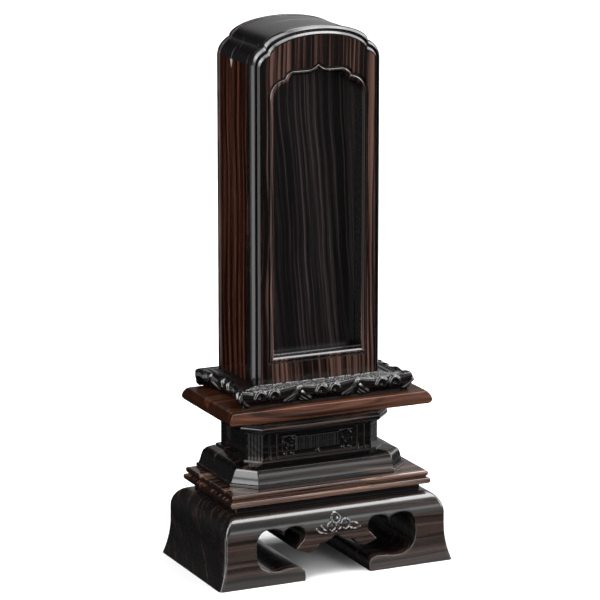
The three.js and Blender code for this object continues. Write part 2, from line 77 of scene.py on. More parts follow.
class Hand(Enum):
    """The left or the right piece of a pair."""

    LEFT = -1
    RIGHT = 1

    @property
    def label(self) -> str:
        """The word that ends a piece's name."""
        return self.name.lower()


# Curves


def softened(corners: Points, sizes: float | list[float], steps: int = 6, closed: bool = False) -> np.ndarray:
    """Rounds the corners of polylines: a corner C becomes (1-s)^2 A + 2s(1-s) C + s^2 B.

    A and B lie at the rounding size before and after C, and at most just under half way along its edges.

    Args:
        corners: Corner points, shaped (..., k, d).
        sizes: Rounding size of each corner, or one for all.
        steps: Points on each rounded corner.
        closed: Whether the last corner joins the first.

    Returns:
        The points of the rounded lines, shaped (..., n, d).
    """
    corners = np.asarray(corners, float)
    reach = np.broadcast_to(sizes, corners.shape[:-1])[..., None]

    def towards(other: np.ndarray) -> np.ndarray:
        """A point on the way from each corner to its neighbour, whose formula is corner + share of the edge.

        Args:
            other: The neighbours.

        Returns:
            Points shaped (..., k, 1, d).
        """
        step = other - corners
        length = np.maximum(np.linalg.norm(step, axis=-1, keepdims=True), 1e-9)
        return (corners + step / length * np.minimum(reach, 0.49 * length))[..., None, :]

    start, end = (towards(np.roll(corners, turn, axis=-2)) for turn in (1, -1))
    share = np.linspace(0.0, 1.0, steps)[:, None]
    curve = (1 - share) ** 2 * start + 2 * share * (1 - share) * corners[..., None, :] + share**2 * end
    if closed:
        return curve.reshape(*corners.shape[:-2], -1, corners.shape[-1])
    inner = curve[..., 1:-1, :, :].reshape(*corners.shape[:-2], -1, corners.shape[-1])
    return np.concatenate([corners[..., :1, :], inner, corners[..., -1:, :]], axis=-2)


def bezier(controls: Points, steps: int) -> np.ndarray:
    """Points of a Bezier curve of any degree: the sum of its controls weighted by Bernstein's terms.

    Args:
        controls: Control points.
        steps: Number of points.

    Returns:
        Points shaped (steps, 2).
    """
    share, degree = np.linspace(0.0, 1.0, steps)[:, None], len(controls) - 1
    terms = [math.comb(degree, i) * share**i * (1 - share) ** (degree - i) for i in range(degree + 1)]
    return sum(term * point for term, point in zip(terms, np.asarray(controls, float)))


def drawn(start: tuple[float, float], *stretches: tuple) -> np.ndarray:
    """A line of Bezier stretches, each of which starts where the one before ends.

    Args:
        start: Where the line begins.
        stretches: Each the number of its points, then the controls that follow its first.

    Returns:
        Points shaped (n, 2), none of them repeated.
    """
    line = np.array([start], float)
    for steps, *controls in stretches:
        line = np.concatenate([line, bezier([line[-1], *controls], steps)[1:]])
    return line


def arc(x: float, y: float, radius: float | np.ndarray, turn: np.ndarray) -> np.ndarray:
    """Points of a circle at its angles, or of a spiral where the radius follows the angle."""
    return np.stack([x + radius * np.cos(turn), y + radius * np.sin(turn)], axis=1)


def mirrored(right: np.ndarray) -> np.ndarray:
    """A closed loop: a half line from x = 0 by way of +x back to x = 0, then its mirror image."""
    return np.concatenate([right, right[-2:0:-1] * (-1, 1)])


def distance_to_line(points: np.ndarray, line: np.ndarray) -> np.ndarray:
    """The least distance from each point to a polyline: to the nearest point of each segment.

    Args:
        points: Points shaped (n, 2).
        line: Polyline shaped (k, 2).

    Returns:
        Distances shaped (n,).
    """
    start, step = line[:-1], np.diff(line, axis=0)
    rest = points[:, None] - start
    share = np.clip((rest * step).sum(-1) / np.maximum((step**2).sum(-1), 1e-12), 0.0, 1.0)
    return np.linalg.norm(rest - share[..., None] * step, axis=-1).min(axis=1)


def within(points: np.ndarray, loop: np.ndarray) -> np.ndarray:
    """Which points lie inside a closed polygon: those with an odd count of its edges to their right.

    Args:
        points: Points shaped (n, 2).
        loop: Polygon shaped (k, 2), whose last point is its first.

    Returns:
        Booleans shaped (n,).
    """
    (x0, y0), (x1, y1) = loop[:-1].T, loop[1:].T
    x, y = points[:, :1], points[:, 1:]
    crossed = ((y0 > y) != (y1 > y)) & (x < x0 + (y - y0) * (x1 - x0) / np.where(y1 == y0, 1.0, y1 - y0))
    return crossed.sum(axis=1) % 2 == 1


def ridge(distance: np.ndarray, half_width: float) -> np.ndarray:
    """A rounded ridge, from 0 to 1: a squared cosine of the distance from its crest to its half width."""
    return np.cos(np.clip(np.abs(distance) / half_width, 0.0, 1.0) * QUARTER) ** 2


def smooth_step(value: np.ndarray, low: float, high: float) -> np.ndarray:
    """Rises from 0 at low to 1 at high as 3s^2 - 2s^3."""
    share = np.clip((value - low) / (high - low), 0.0, 1.0)
    return share * share * (3 - 2 * share)


def facet(fall: np.ndarray, width: float) -> np.ndarray:
    """A flat facet, from 0 to 1: it rises evenly over a width and then drops sharply back."""
    return np.clip(fall / width, 0.0, 1.0) * smooth_step(fall, 1.3 * width, width)


# Finishes


class Nodes:
    """A short way to write the node tree of a material or a world."""

    def __init__(self, owner: bpy.types.Material | bpy.types.World, end: str = "Principled BSDF") -> None:
        """Turns the tree on.

        Args:
            owner: What the tree belongs to.
            end: The node that gives the owner its look.
        """
        owner.use_nodes = True
        self.tree = owner.node_tree
        self.end = self.tree.nodes[end]

    def feed(self, node: bpy.types.Node, inputs: dict) -> None:
        """Links sockets to inputs of a node, or sets the inputs' own values.

        Args:
            node: The node.
            inputs: Values or sockets for its inputs, by name or number.
        """
        for key, value in inputs.items():
            if isinstance(value, bpy.types.NodeSocket):
                self.tree.links.new(value, node.inputs[key])
            else:
                node.inputs[key].default_value = value

    def add(self, kind: str, inputs: dict | None = None, **settings: str) -> bpy.types.Node:
        """Adds a node.

        Args:
            kind: Blender's name of the node type, without its ShaderNode prefix.
            inputs: Values or sockets for its inputs, by name or number.
            settings: Attributes to set on the node.

        Returns:
            The node.
        """
        node = self.tree.nodes.new("ShaderNode" + kind)
        for key, value in settings.items():
            setattr(node, key, value)
        self.feed(node, inputs or {})
        return node

    def math(self, operation: str, *values: object) -> bpy.types.NodeSocket:
        """Adds a Math node and returns its result."""
        return self.add("Math", dict(enumerate(values)), operation=operation).outputs[0]

    def noise(self, vector: object, scale: float, detail: float, rough: float = 0.5) -> bpy.types.NodeSocket:
        """Adds a noise texture and returns its value."""
        inputs = {"Vector": vector, "Scale": scale, "Detail": detail, "Roughness": rough}
        return self.add("TexNoise", inputs).outputs[0]

    def ramp(self, value: object, stops: list[tuple[float, Colour]]) -> bpy.types.NodeSocket:
        """Adds a colour ramp.

        Args:
            value: What the ramp reads.
            stops: Places on it, each with its colour.

        Returns:
            The colour.
        """
        node = self.add("ValToRGB", {0: value})
        while len(node.color_ramp.elements) < len(stops):
            node.color_ramp.elements.new(0.5)
        for element, (place, colour) in zip(node.color_ramp.elements, stops):
            element.position = place
            element.color = (*colour, 1.0)
        return node.outputs[0]

    def dress(self, height: bpy.types.NodeSocket, strength: float, depth: float, **inputs: object) -> None:
        """Sets the shader's inputs, and its fine bumps from a height.

        Args:
            height: What the bumps follow.
            strength: How strong they are.
            depth: How deep they are.
            inputs: The shader's inputs, with low lines for the blanks in their names.
        """
        bump = self.add("Bump", {"Strength": strength, "Distance": depth * MM, "Height": height})
        self.feed(self.end, {key.replace("_", " "): value for key, value in inputs.items()})
        self.feed(self.end, {"Normal": bump.outputs[0]})


@dataclass(frozen=True)
class StripedEbony:
    """Lacquered ebony: long streaks of brown in near-black wood, with fine pores under the gloss.

    The colours are linear: the dark wood, the common tone between and the light streaks. Streak is
    the least spacing of the streaks and slant the turn of the growth rings about the grain. Weights are
    those of the noises, from broad to fine, and stops the tones at which each colour is reached.
    """

    grain: Grain
    black: Colour = (0.0013, 0.0010, 0.0010)
    umber: Colour = (0.0050, 0.0034, 0.0030)
    russet: Colour = (0.0260, 0.0150, 0.0110)
    streak: float = 1.0
    length: float = 130.0
    ring_length: float = 8.0
    slant: float = math.radians(45)
    brownness: float = 0.0
    seed: float = 0.0
    wander: float = 5.0
    wander_length: float = 45.0
    lean: float = 0.0
    roughness: float = 0.26
    coat: float = 0.6
    coat_roughness: float = 0.07
    gloss: float = 0.35
    bar_bend: float = 18.0
    bar_weight: float = 0.038
    weights: tuple[float, ...] = (0.36, 0.8, 0.3)
    end_darkness: float = 0.16
    middle: float = 0.23
    stops: tuple[float, ...] = (0.42, 0.50, 0.60, 0.72)
    highlight: float = 1.7

    def paint(self, nodes: Nodes) -> None:
        """Writes the material.

        The coordinates are laid along the grain and squeezed along it, so noise turns into streaks.
        A sine bent by a slow noise gives the regular bars, two noises break them up, and a fine one
        gives the pores. End grain drinks more of the finish, so it is darker.

        Args:
            nodes: The material's node tree.
        """
        source = nodes.add("TexCoord")
        swing, along = self.grain.value
        turn = (0.0, swing + self.lean, self.slant)
        laid = nodes.add("Mapping", {"Vector": source.outputs["Object"], "Rotation": turn}).outputs[0]
        bend = nodes.math("SUBTRACT", nodes.noise(laid, 1 / (self.wander_length * MM), 1.0), 0.5)
        shift = nodes.math("MULTIPLY", bend, self.wander * MM)
        drift = nodes.add("CombineXYZ", {0: shift, 1: shift, 2: 0.0}).outputs[0]
        moved = nodes.add("VectorMath", {0: laid, 1: drift}, operation="ADD").outputs[0]
        sizes = (self.streak, self.streak * self.ring_length, self.length)
        grain = nodes.add("Mapping", {
            "Vector": moved,
            "Location": (self.seed, self.seed * 1.7, self.seed * 0.6),
            "Scale": tuple(1 / (size * MM) for size in sizes),
        }).outputs[0]
        broad = nodes.noise(grain, 0.14, 1.0)
        streaks = nodes.noise(grain, 0.8, 3.0, 0.6)
        threads = nodes.noise(grain, 3.0, 2.0, 0.6)
        ring = nodes.add("SeparateXYZ", {0: grain}).outputs[0]
        bent = nodes.math("MULTIPLY", broad, self.bar_bend)
        phase = nodes.math("ADD", nodes.math("MULTIPLY", ring, math.pi), bent)
        facing = {0: source.outputs["Normal"], 1: along}
        end = nodes.add("VectorMath", facing, operation="DOT_PRODUCT").outputs["Value"]
        tone = nodes.math("MULTIPLY", nodes.math("SINE", phase), self.bar_weight)
        for noise, weight in zip((broad, streaks, threads), self.weights):
            tone = nodes.math("ADD", tone, nodes.math("MULTIPLY", noise, weight))
        dark = nodes.math("MULTIPLY", nodes.math("MULTIPLY", end, end), self.end_darkness)
        tone = nodes.math("SUBTRACT", tone, dark)
        tone = nodes.math("ADD", tone, self.brownness - self.middle)
        bright = tuple(self.highlight * part for part in self.russet)
        stops = list(zip(self.stops, (self.black, self.umber, self.russet, bright)))
        rough = nodes.math("ADD", nodes.math("MULTIPLY", threads, 0.12), self.roughness - 0.06)
        nodes.dress(threads, 0.12, 0.05, Base_Color=nodes.ramp(tone, stops), Roughness=rough,
                    Specular_IOR_Level=self.gloss, Coat_Weight=self.coat, Coat_Roughness=self.coat_roughness)


@dataclass(frozen=True)
class BareWood:
    """Plain planed softwood, hidden inside the box."""

    scale: tuple[float, float, float] = (900.0, 900.0, 20.0)
    dark: Colour = (0.27, 0.15, 0.07)
    pale: Colour = (0.50, 0.33, 0.18)

    def paint(self, nodes: Nodes) -> None:
        """Writes the material: pale streaks along the grain, with a dull surface.

        Args:
            nodes: The material's node tree.
        """
        place = nodes.add("TexCoord").outputs["Object"]
        laid = nodes.add("Mapping", {"Vector": place, "Rotation": (0.0, QUARTER, 0.0), "Scale": self.scale})
        streaks = nodes.noise(laid.outputs[0], 1.0, 4.0, 0.6)
        colour = nodes.ramp(streaks, [(0.3, self.dark), (0.7, self.pale)])
        nodes.dress(streaks, 0.2, 0.1, Base_Color=colour, Roughness=0.65)


class Wood(Enum):
    """The finishes. A finish's material bears its name, and is made when it is first asked for."""

    STAND = StripedEbony(
        Grain.ACROSS, (0.0024, 0.0020, 0.0021), (0.0066, 0.0044, 0.0038), (0.0175, 0.0108, 0.0087),
        brownness=0.02)
    DARK = StripedEbony(Grain.ACROSS, brownness=-0.04, seed=2.0, gloss=0.28, coat=0.48)
    # A copy of DARK for the recessed waist panel and plaque: less gloss, and a darker tone that is painted
    # shade in the recess.
    RECESS = StripedEbony(Grain.ACROSS, brownness=-0.08, seed=2.0, gloss=0.14, coat=0.25)
    SMOKE = StripedEbony(Grain.ACROSS, brownness=-0.14, seed=4.0)
    BROWN = StripedEbony(
        Grain.ACROSS, (0.0080, 0.0023, 0.0010), (0.0250, 0.0077, 0.0035), (0.048, 0.0182, 0.0096),
        seed=3.0, roughness=0.3, coat=0.14, coat_roughness=0.15, gloss=0.11)
    LINED = StripedEbony(
        Grain.ACROSS, (0.0035, 0.0013, 0.0008), (0.026, 0.0115, 0.0075), (0.090, 0.050, 0.036), seed=9.0)
    STREAKED = StripedEbony(
        Grain.UPRIGHT, (0.0012, 0.0007, 0.0006), (0.0078, 0.0034, 0.0026), (0.040, 0.021, 0.0158),
        slant=0.0, seed=13.0, gloss=0.2, roughness=0.18)
    SIDE = StripedEbony(
        Grain.UPRIGHT, (0.0036, 0.0008, 0.0004), (0.012, 0.0036, 0.0020), (0.034, 0.0120, 0.0070),
        streak=1.9, slant=QUARTER, seed=12.0, gloss=0.2, roughness=0.18)
    RIM = StripedEbony(Grain.UPRIGHT, brownness=-0.05, slant=0.0, seed=5.0)
    SLIP = StripedEbony(
        Grain.UPRIGHT, (0.0013, 0.0010, 0.0012), (0.0043, 0.0032, 0.0034), (0.0130, 0.0092, 0.0092),
        slant=0.0, seed=20.0, lean=math.radians(4.0), gloss=0.15, coat=0.3)
    BARE = BareWood()

    @property
    def material(self) -> bpy.types.Material:
        """The finish's material.

        Returns:
            The one material of its name.
        """
        name = self.name.lower()
        material = bpy.data.materials.get(name)
        if material is None:
            material = bpy.data.materials.new(name)
            self.value.paint(Nodes(material))
        return material


def dress_solids() -> None:
    """Gives every solid of the frame the finish of its slot; pieces made later hide those they replace."""
    finishes = {"dark_wood": Wood.DARK, "brown_wood": Wood.BROWN, "striped_wood": Wood.STREAKED,
                "slip_wood": Wood.SLIP, "plain_wood": Wood.BARE}
    slots = {part["node"]: part["material_slot"] for part in frame["record"]["subparts"]}
    for node, piece in frame["nodes"].items():
        finish = Wood.SIDE if "_side_" in node else finishes[slots[node]]
        piece.data.materials.clear()
        piece.data.materials.append(finish.material)


# Meshes


def node_box(node: str) -> tuple[np.ndarray, np.ndarray]:
    """The lowest and the highest corner of a solid, in millimetres."""
    low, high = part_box(node)
    return np.array(low) / MM, np.array(high) / MM


class Skin:
    """The points and faces of one piece, gathered patch by patch and then made one closed mesh."""

    def __init__(self) -> None:
        """Starts with no points."""
        self._points: list[np.ndarray] = []
        self._faces: list[list[int]] = []

    def add(self, points: np.ndarray, faces: Points) -> None:
        """Adds a patch.

        Args:
            points: Points shaped (..., 3).
            faces: The corners of each face, numbered from the patch's first point, and equally many.
        """
        first = sum(map(len, self._points))
        self._points.append(points.reshape(-1, 3))
        self._faces += (first + np.asarray(faces)).tolist()

    def cap(self, ring: np.ndarray) -> None:
        """Adds one flat face round a ring of points shaped (n, 3)."""
        self.add(ring, [range(len(ring))])

    def grid(self, points: np.ndarray, wrap_rows: bool = False, wrap_columns: bool = False) -> None:
        """Adds a sheet of quads: point (i, j) joins (i, j+1), (i+1, j+1) and (i+1, j).

        Args:
            points: Points shaped (rows, columns, 3).
            wrap_rows: Whether the last row joins the first.
            wrap_columns: Whether the last column joins the first.
        """
        rows, columns = points.shape[:2]
        i, j = np.ogrid[:rows - 1 + wrap_rows, :columns - 1 + wrap_columns]
        here, below, beside = i * columns, (i + 1) % rows * columns, (j + 1) % columns
        self.add(points, np.stack([here + j, here + beside, below + beside, below + j], -1).reshape(-1, 4))

    def loft(self, rings: np.ndarray) -> None:
        """Adds the skin through closed rings shaped (levels, n, 3), and a flat face at each end.

        Args:
            rings: The rings.
        """
        self.grid(rings, wrap_columns=True)
        self.cap(rings[0])
        self.cap(rings[-1])

    def sweep(self, rows: np.ndarray) -> None:
        """Adds a closed section carried along a path, and a flat face at each end.

        Args:
            rows: The path of each point of the section, shaped (section, path, 3).
        """
        self.grid(rows, wrap_rows=True)
        self.cap(rows[:, 0])
        self.cap(rows[:, -1])

    def relief(self, front: np.ndarray, back: float) -> None:
        """Adds a slab whose front is a carved sheet and whose back is flat.

        Args:
            front: Points shaped (rows, columns, 3).
            back: The back's Y.
        """
        edge = np.concatenate([front[0], front[1:, -1], front[-1, -2::-1], front[-2:0:-1, 0]])
        rear = edge * (1, 0, 1) + (0, back, 0)
        self.grid(front)
        self.grid(np.stack([edge, rear]), wrap_columns=True)
        self.cap(rear)

    def make(self, name: str, finish: Wood, body: str, slot: str, *nodes: str,
             crease: float = 38.0) -> bpy.types.Object:
        """Merges the patches into one mesh with its faces pointing out, which rides on a body.

        Args:
            name: The piece's name.
            finish: Its finish.
            body: The body that carries it.
            slot: The record's material slot; not used.
            nodes: The solids that it stands for.
            crease: Edges sharper than this angle, in degrees, stay crisp.

        Returns:
            The new object, at the origin.
        """
        mesh = bpy.data.meshes.new(name)
        mesh.from_pydata(np.concatenate(self._points) * MM, [], self._faces)
        shape = bmesh.new()
        shape.from_mesh(mesh)
        bmesh.ops.remove_doubles(shape, verts=shape.verts, dist=0.002 * MM)
        bmesh.ops.dissolve_degenerate(shape, edges=shape.edges, dist=0.0005 * MM)
        bmesh.ops.recalc_face_normals(shape, faces=shape.faces)
        shape.to_mesh(mesh)
        shape.free()
        mesh.shade_smooth()
        mesh.set_sharp_from_angle(angle=math.radians(crease))
        mesh.materials.append(finish.material)
        piece = bpy.data.objects.new(name, mesh)
        bpy.context.scene.collection.objects.link(piece)
        piece.modifiers.new("weighting", "WEIGHTED_NORMAL").keep_sharp = True
        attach(piece, body)
        if nodes:
            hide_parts(*nodes)
        log.info("%s: %d faces", name, len(mesh.polygons))
        return piece


# The pedestal


@dataclass(frozen=True)
class Plan:
    """A board from above: half its width, how far out its front and rear are, and its cut front corners."""

    half_width: float
    front: float
    rear: float
    cut: float = 0.0


WAIST_PLAN = Plan(24.95, 9.3, 16.9, 4.9)


@dataclass
class MouldedBoard:
    """A board with a moulding run round its edge and mitred at its corners.

    A row of the profile is a height and how far the edge lies inside the plan there. A row of five gives
    that for the sides, the front and the rear, and then how much longer the cut corner is.
    """

    name: str
    node: str
    slot: str
    finish: Wood
    profile: list[tuple[float, ...]]
    softness: list[float] | float
    corner: float = 0.35
    plan: Plan | None = None

    def build(self) -> None:
        """Makes the board as rings, each of which is the plan drawn in by its level's row."""
        low, high = node_box(self.node)
        plan = self.plan or Plan((high[0] - low[0]) / 2, high[1], high[1])
        rows = [row if len(row) == 5 else (row[0], row[1], row[1], row[1], 0.0) for row in self.profile]
        height, side, front, rear, cut = softened(rows, self.softness, 7).T
        right, fore, aft, cut = plan.half_width - side, front - plan.front, plan.rear - rear, plan.cut + cut
        corners = [(right - cut, fore), (right, fore + cut), (right, aft)][0 if plan.cut else 1:]
        half = np.stack([np.stack(corner, -1) for corner in corners], axis=1)
        both = np.concatenate([half, half[:, ::-1] * (-1, 1)], axis=1)
        loops = softened(both, self.corner, 5, closed=True)
        level = np.broadcast_to((low[2] + height)[:, None, None], (*loops.shape[:2], 1))
        skin = Skin()
        skin.loft(np.concatenate([loops, level], axis=-1))
        skin.make(self.name, self.finish, PEDESTAL, self.slot, self.node)


TIERS = (
    MouldedBoard(
        "neck", "neck_board", "dark_wood", Wood.DARK,
        [(0.0, 0.2), (0.2, 0.0), (2.3, 0.0), (2.5, 0.2)], 0.1),
    MouldedBoard(
        "bead_plate", "lower_plate", "brown_wood", Wood.LINED,
        [(0.0, 1.5), (0.02, 1.0), (0.35, 0.2), (1.15, 0.0), (1.95, 0.2), (2.28, 1.0), (2.45, 1.45),
         (2.65, 1.25), (2.95, 0.85), (3.7, 0.65), (4.35, 0.8), (4.62, 1.2), (4.7, 1.7)],
        [0, 0.2, 0.45, 0.5, 0.45, 0.15, 0.06, 0.1, 0.35, 0.4, 0.3, 0.2, 0]),
    MouldedBoard(
        "slope", "slope_block", "dark_wood", Wood.DARK,
        [(0.0, -8.2, -7.2, -2.7, 2.7), (0.12, -8.3, -7.3, -2.8, 2.7), (0.98, -8.3, -7.3, -2.8, 2.7),
         (1.12, -8.1, -7.1, -2.7, 2.65), (1.25, -7.65, -6.65, -2.35, 2.35), (2.4, -7.2, -6.3, -2.2, 1.9),
         (3.6, -6.9, -6.2, -2.1, 1.65), (5.7, -6.2, -5.5, -2.0, 0.9), (6.7, -4.6, -4.0, -1.7, -0.2),
         (7.15, -2.4, -2.1, -1.3, -0.1), (7.24, -1.65, -1.55, -1.0, 0.0), (7.35, -1.6, -1.5, -1.0, 0.0),
         (7.75, -1.6, -1.5, -1.0, 0.0), (7.9, -1.45, -1.35, -0.9, 0.0)],
        [0, 0.06, 0.1, 0.1, 0.1, 0.8, 1.1, 1.2, 0.9, 0.35, 0.05, 0.05, 0.1, 0], 0.25, WAIST_PLAN),
    MouldedBoard(
        "crown", "crown_moulding", "dark_wood", Wood.DARK,
        [(height, -side, -side, -side / 2, 0.3 * side) for height, side in
         [(0.0, 0.7), (0.1, 0.8), (0.55, 0.8), (0.65, 1.75), (1.0, 2.5), (1.9, 3.0), (2.9, 3.0), (3.4, 2.55),
          (3.55, 2.2), (4.3, 2.55), (5.2, 3.5), (6.2, 5.2), (7.1, 6.55), (7.2, 6.6)]],
        [0, 0.05, 0.08, 0.1, 0.4, 0.6, 0.5, 0.15, 0.1, 0.5, 0.8, 0.8, 0.1, 0], 0.25, WAIST_PLAN),
    MouldedBoard(
        "upper_board", "upper_plate", "brown_wood", Wood.BROWN,
        [(0.0, 1.7), (0.2, 0.8), (0.9, 0.1), (1.7, 0.0), (2.7, 0.2), (3.6, 0.75), (4.3, 1.3), (4.7, 2.2)],
        [0, 0.4, 0.5, 0.6, 0.6, 0.6, 0.3, 0], 0.6),
)


@dataclass
class Stand:
    """The flared foot block with its scroll-cut opening and the carved crest above the notch.

    A place on the face is its x and its way, the distance up the face from the ground. The box of the
    carving is its left, right, lower and upper edge.
    """

    half_width: float = 44.1
    half_depth: float = 25.5
    height: float = 24.4
    corner: float = 1.2
    flare_height: float = 13.0
    flare_across: float = 2.6
    flare_deep: float = 1.1
    shoulder_start: float = 17.0
    shoulder_inset: float = 6.0
    lip: float = 0.25
    spacing: float = 0.85
    carving_spacing: float = 0.2
    carving: tuple[float, float, float, float] = (-9.0, 9.6, 14.6, 22.0)
    carving_depth: float = 0.55
    long_steps: int = 90
    short_steps: int = 40

    @property
    def roll(self) -> float:
        """How much further the way over the shoulder goes for each radian of its turn."""
        return (self.height - self.shoulder_start + self.shoulder_inset) / 2

    def turned(self, way: np.ndarray) -> np.ndarray:
        """The angle turned over the shoulder, in radians, at a way up the face."""
        return np.maximum(way - self.shoulder_start, 0.0) / self.roll

    def level(self, way: np.ndarray) -> np.ndarray:
        """The height at a way up the face: straight to the shoulder, then a quarter of an ellipse."""
        over = (self.height - self.shoulder_start) * np.sin(self.turned(way))
        return np.minimum(way, self.shoulder_start) + over

    def way(self, height: np.ndarray) -> np.ndarray:
        """The way up the face at a height, the inverse of level."""
        over = np.clip((height - self.shoulder_start) / (self.height - self.shoulder_start), 0.0, 1.0)
        return np.minimum(height, self.shoulder_start) + self.roll * np.arcsin(over)

    def inset(self, way: np.ndarray, flare: float) -> np.ndarray:
        """How far the face lies in: a parabola below, which flares out at the ground, and the shoulder."""
        below = flare * (1 - (1 - np.minimum(way / self.flare_height, 1.0)) ** 2)
        return below + self.shoulder_inset * (1 - np.cos(self.turned(way)))

    def reach(self, way: np.ndarray) -> tuple[np.ndarray, np.ndarray]:
        """Half the width and half the depth at a way up the face."""
        deep = self.half_depth - self.inset(way, self.flare_deep)
        return self.half_width - self.inset(way, self.flare_across), deep

    def opening(self) -> np.ndarray:
        """The scrolled outline, as x and height.

        Returns:
            Points from the left toe over the top to the right toe.
        """
        right = np.concatenate([
            drawn((12.3, 0.0), (2, (12.1, 1.2)), (2, (12.1, 2.4)), (10, (12.1, 5.0), (15.9, 5.0)),
                  (9, (18.5, 5.0), (21.8, 4.4)), (22, (30.2, 4.4), (30.2, 12.3)),
                  (18, (30.2, 19.3), (25.2, 19.3)), (12, (19.9, 19.3), (19.9, 16.6)),
                  (12, (19.9, 19.3), (15.3, 19.3))),
            arc(15.3, 15.8, 3.5, np.radians(np.linspace(90.0, 200.0, 18)[1:])),
            drawn((12.01, 14.6), (8, (15.3, 11.1)), (10, (11.8, 9.5), (10.2, 9.5)),
                  (10, (7.6, 9.5), (6.6, 12.2)), (12, (3.3, 12.2), (0.0, 14.9))),
        ])
        return np.concatenate([right * (-1, 1), right[-2::-1]])

    def grown(self, line: np.ndarray, amount: float) -> np.ndarray:
        """Moves an open line out along its mitred normals, its two ends only along the ground.

        Args:
            line: Points shaped (n, 2).
            amount: How far.

        Returns:
            The moved line.
        """
        step = np.diff(line, axis=0)
        normal = np.stack([-step[:, 1], step[:, 0]], axis=1) / np.linalg.norm(step, axis=1, keepdims=True)
        pair = normal[:-1] + normal[1:]
        mitre = pair / np.maximum((pair**2).sum(1, keepdims=True) / 2, 0.7)
        return line + np.concatenate([normal[:1] * (1, 0), mitre, normal[-1:] * (1, 0)]) * amount

    def carved(self, x: np.ndarray, way: np.ndarray) -> np.ndarray:
        """Relief of the crest: overlapping rings, each a ridge along a circle round a dome, and leaf tails.

        Args:
            x: Place across.
            way: Way up the face.

        Returns:
            How far the face stands out there.
        """
        points, turn = np.stack([x, way], axis=1), np.linspace(0, 2 * math.pi, 25)
        rings = ((-0.3, 20.0, 1.55), (-2.1, 17.6, 1.45), (3.1, 17.9, 1.6), (0.6, 17.5, 1.0))
        tails = (
            [(-7.9, 17.3), (-7.2, 15.6), (-4.2, 14.9), (-0.4, 15.6)],
            [(-6.2, 18.2), (-5.4, 16.6), (-4.0, 16.4)],
            [(4.6, 16.6), (6.4, 15.4), (8.6, 16.3)],
            [(5.0, 17.9), (6.6, 18.2), (7.6, 17.3)],
        )
        marks = [ridge(distance_to_line(points, arc(*ring, turn)), 0.42) for ring in rings]
        marks += [0.45 * ridge(np.hypot(x - across, way - up), radius) for across, up, radius in rings]
        marks += [0.8 * ridge(distance_to_line(points, bezier(tail, 14)), 0.5) for tail in tails]
        return self.carving_depth * np.max(marks, axis=0)

    def face(self, opening: np.ndarray, climb: np.ndarray) -> tuple[np.ndarray, np.ndarray, np.ndarray]:
        """Triangles over the face round the opening, worked out flat, with finer points under the crest.

        Args:
            opening: The opening's outline on the face.
            climb: The ways up the face at its two sides.

        Returns:
            x, the way up the face, and the triangles.
        """
        edge = np.stack([self.reach(climb)[0] - self.corner, climb], axis=1)
        top = np.linspace(edge[-1], edge[-1] * (-1, 1), self.long_steps)[1:-1]
        foot = np.linspace(opening[-1], edge[0], self.short_steps)[1:-1]
        rim = np.concatenate([edge, top, edge[::-1] * (-1, 1), foot[::-1] * (-1, 1), opening, foot])
        loop = np.concatenate([rim, rim[:1]])

        def filled(box: tuple[float, float, float, float], gap: float) -> np.ndarray:
            """Points in rows over a box, every second row half a step aside.

            Args:
                box: Its left, right, lower and upper edge.
                gap: The step.

            Returns:
                Points shaped (n, 2).
            """
            x, way = np.meshgrid(np.arange(box[0], box[1], gap), np.arange(box[2], box[3], gap * 0.87))
            x = x + np.arange(len(x))[:, None] % 2 * gap / 2
            return np.stack([x, way], axis=-1).reshape(-1, 2)

        def inside(points: np.ndarray, margin: float) -> np.ndarray:
            """Keeps the points that lie within the rim by a margin."""
            return points[within(points, loop) & (distance_to_line(points, loop) > margin)]

        plain = filled((-self.half_width, self.half_width, 0.5, climb[-1] - 0.3), self.spacing)
        (x, way), (left, right, low, high) = plain.T, self.carving
        away = np.max([left - x, x - right, low - way, way - high], axis=0)
        fine = filled(self.carving, self.carving_spacing)
        cloud = np.concatenate([rim, inside(plain[away > 0.4], 0.35), inside(fine, 0.1)])
        points, border = [Vector(point) for point in cloud], [list(range(len(rim)))]
        flat, _, faces, _, _, _ = delaunay_2d_cdt(points, [], border, 1, 1e-6, False)
        flat, faces = np.array([tuple(point) for point in flat]), np.array(faces)
        return flat[:, 0], flat[:, 1], faces[within(flat[faces].mean(axis=1), loop)]

    def flank(self, climb: np.ndarray) -> np.ndarray:
        """The right side with its two round corners.

        Args:
            climb: The ways up it.

        Returns:
            Rows from front to rear, shaped (n, ways, 3).
        """
        across, deep = self.reach(climb)
        turn = np.linspace(0, QUARTER, 7)[:, None]
        x = across - self.corner + self.corner * np.sin(turn)
        y = deep - self.corner + self.corner * np.cos(turn)
        run = np.linspace(-1, 1, self.short_steps)[1:-1, None] * (deep - self.corner)
        x = np.concatenate([x, np.broadcast_to(across, run.shape), x[::-1]])
        y = np.concatenate([-y, run, y[::-1]])
        return np.stack(np.broadcast_arrays(x, y, self.level(climb)), axis=-1)

